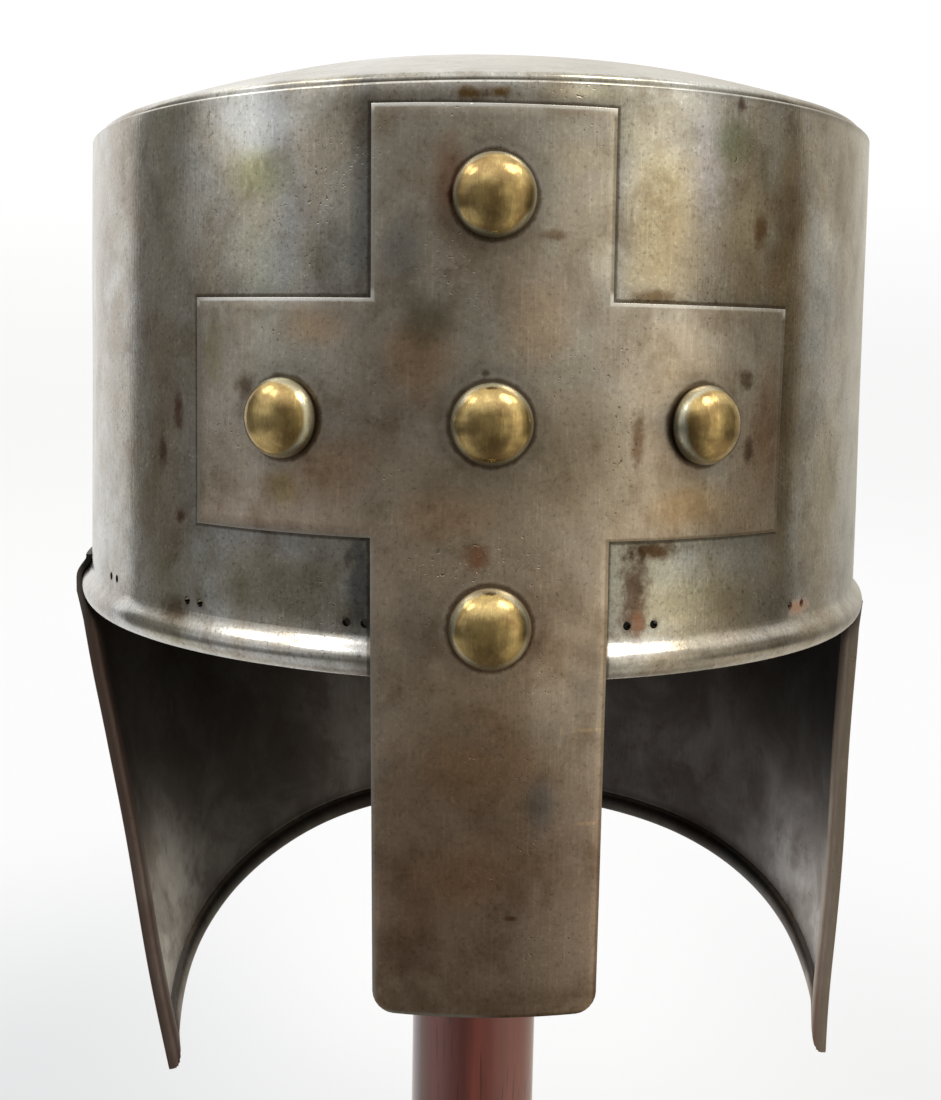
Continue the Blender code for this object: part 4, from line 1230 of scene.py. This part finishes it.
# The inner face is painted darker, darkest towards the top, and much lighter near the front tips: painted
# shade inside the helmet and painted light where the light reaches the tips.
inside = smooth((place_wide + place_deep) ** 0.5, 1.005, 0.985)
tone = tinted(inside, tone, (0.52, 0.52, 0.52))
tone = tinted(smooth(drop + mottle * 0.02, 0.190, 0.150) * inside, tone, (0.48, 0.48, 0.48))
lit_tips = smooth(y + mottle * 0.03, 0.070, 0.020) * smooth(drop + mottle * 0.03, 0.190, 0.235)
tone = tinted(lit_tips * inside, tone, (4.8, 4.9, 5.0))
from_edge = place.node("Attribute", {"attribute_name": "from_edge"}, (), output="Fac")
below_bead = smooth(drop, DRUM_HEIGHT + 0.002, DRUM_HEIGHT + 0.014)
rolled = smooth(from_edge, 0.0062, 0.0050) * below_bead
# The rolled front edges are brown, painted darker on the left as painted shade; the roll along the lower edge
# at the back is painted darker as painted shade in its hollow.
roll_tone = mixed(smooth(x, -0.02, 0.06), (0.15, 0.105, 0.09), (0.46, 0.385, 0.305))
tone = mixed(rolled * 0.85 * smooth(y, 0.002, -0.006), tone, roll_tone)
tone = tinted(rolled * smooth(y, -0.004, 0.010), tone, (0.55, 0.53, 0.50))
# A thin line along the roll's crease is painted bright: worn bare steel and a painted highlight where the
# crest catches the light.
worn_lit_crease = smooth(abs(from_edge - 0.0064), 0.0008, 0.0001) * below_bead
tone = tinted(worn_lit_crease * inside, tone, (3.0, 3.0, 2.9))
tone = tinted(smooth(brushing, 0.5, 0.8) * 0.6, tone, (1.35, 1.35, 1.33))
tone = mixed(pits * 0.7, tone, (0.07, 0.05, 0.04))
roughness = 0.38 + patches * 0.14 + mottle * 0.10
steel_surface(guard_steel, place, tone, smooth(mottle, 0.60, 0.74) * 0.4, roughness, detail, 0.8)

# %% [markdown]
# ## Aged brass
# The studs are golden brown, rubbed pale and a little green at their rims, with brown tarnish in broad
# bands and fine upright scratches. The distance to a stud's seat grows from its crown to its rim, so one
# material serves all five.

# %% Brass
brass, coordinates = open_finish("aged_brass_studs")
place, x, y, drop = helmet_place(coordinates)
away = nearest(place, stud_holes)
scratch = cloud(stretched(place, (1.0, 1.0, 0.10)), 1700.0, 2.0)
clouds = cloud(place, 170.0, 4.0, 0.6)
tone = mixed(smooth(clouds, 0.36, 0.64), (0.56, 0.415, 0.175), (0.31, 0.21, 0.09))
rim = smooth(away + clouds * 0.0005, 0.0084, 0.0087)
tone = tinted(smooth(away, 0.0074, 0.0083), tone, (0.72, 0.70, 0.64))
tone = mixed(rim * 0.8, tone, (0.50, 0.50, 0.39))
tone = tinted(smooth(scratch, 0.5, 0.8), tone, (1.35, 1.35, 1.35))
depth = scratch * 0.00002 + clouds * 0.00010
roughness = 0.11 + clouds * 0.12 + rim * 0.1
join_surface(place, depth, {"Base Color": tone, "Metallic": 1.0, "Roughness": roughness})
print("brass:", len(brass.node_tree.nodes), "nodes")

# %% [markdown]
# ## Mahogany
# The wood is stained a deep red brown under a clear glossy varnish. Its grain is long dark pores and paler
# streaks that run up the post and across the base and cap. The varnish is a coat over a duller base, as it
# is on the real stand.

# %% Wood
def mahogany(name, along):
    """Varnished mahogany whose grain is drawn out on the axes where along is small."""
    finish, coordinates = open_finish(name)
    drawn = stretched(coordinates, along)
    streaks = cloud(drawn, 90.0, 4.0, 0.6, 0.6)
    pores = smooth(cloud(drawn, 900.0, 2.0, 0.5), 0.60, 0.68)
    tone = mixed(smooth(streaks, 0.34, 0.66), (0.105, 0.020, 0.016), (0.215, 0.050, 0.034))
    tone = mixed(pores * 0.55, tone, (0.035, 0.008, 0.006))
    values = {"Base Color": tone, "Roughness": 0.36 + streaks * 0.1}
    values |= {"Coat Weight": 1.0, "Coat Roughness": 0.11, "IOR": 1.5}
    join_surface(coordinates, pores * -0.00004, values)
    return finish


upright_wood = mahogany("mahogany_upright", (1.0, 1.0, 0.05))
level_wood = mahogany("mahogany_level", (0.05, 1.0, 1.0))
print("woods:", upright_wood.name, level_wood.name)

# %% [markdown]
# ## Tie every piece to its solid
# Each piece takes its finish, rides on the one body of this object and stands for its solid, which is hidden.

# %% Dress
def dress(piece, node, finish):
    piece.data.materials.clear()
    piece.data.materials.append(finish)
    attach(piece, "root")
    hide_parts(node)


dress(drum, "crown_drum", drum_steel)
dress(dome, "crown_top", drum_steel)
dress(cross, "cross_plate", cross_steel)
dress(guard, "neck_guard", guard_steel)
for name, stud in studs:
    dress(stud, name, brass)
for name, rivet in rivets:
    dress(rivet, name, guard_steel)
dress(base, "stand_base", level_wood)
dress(post, "stand_post", upright_wood)
dress(cap, "stand_cap", level_wood)
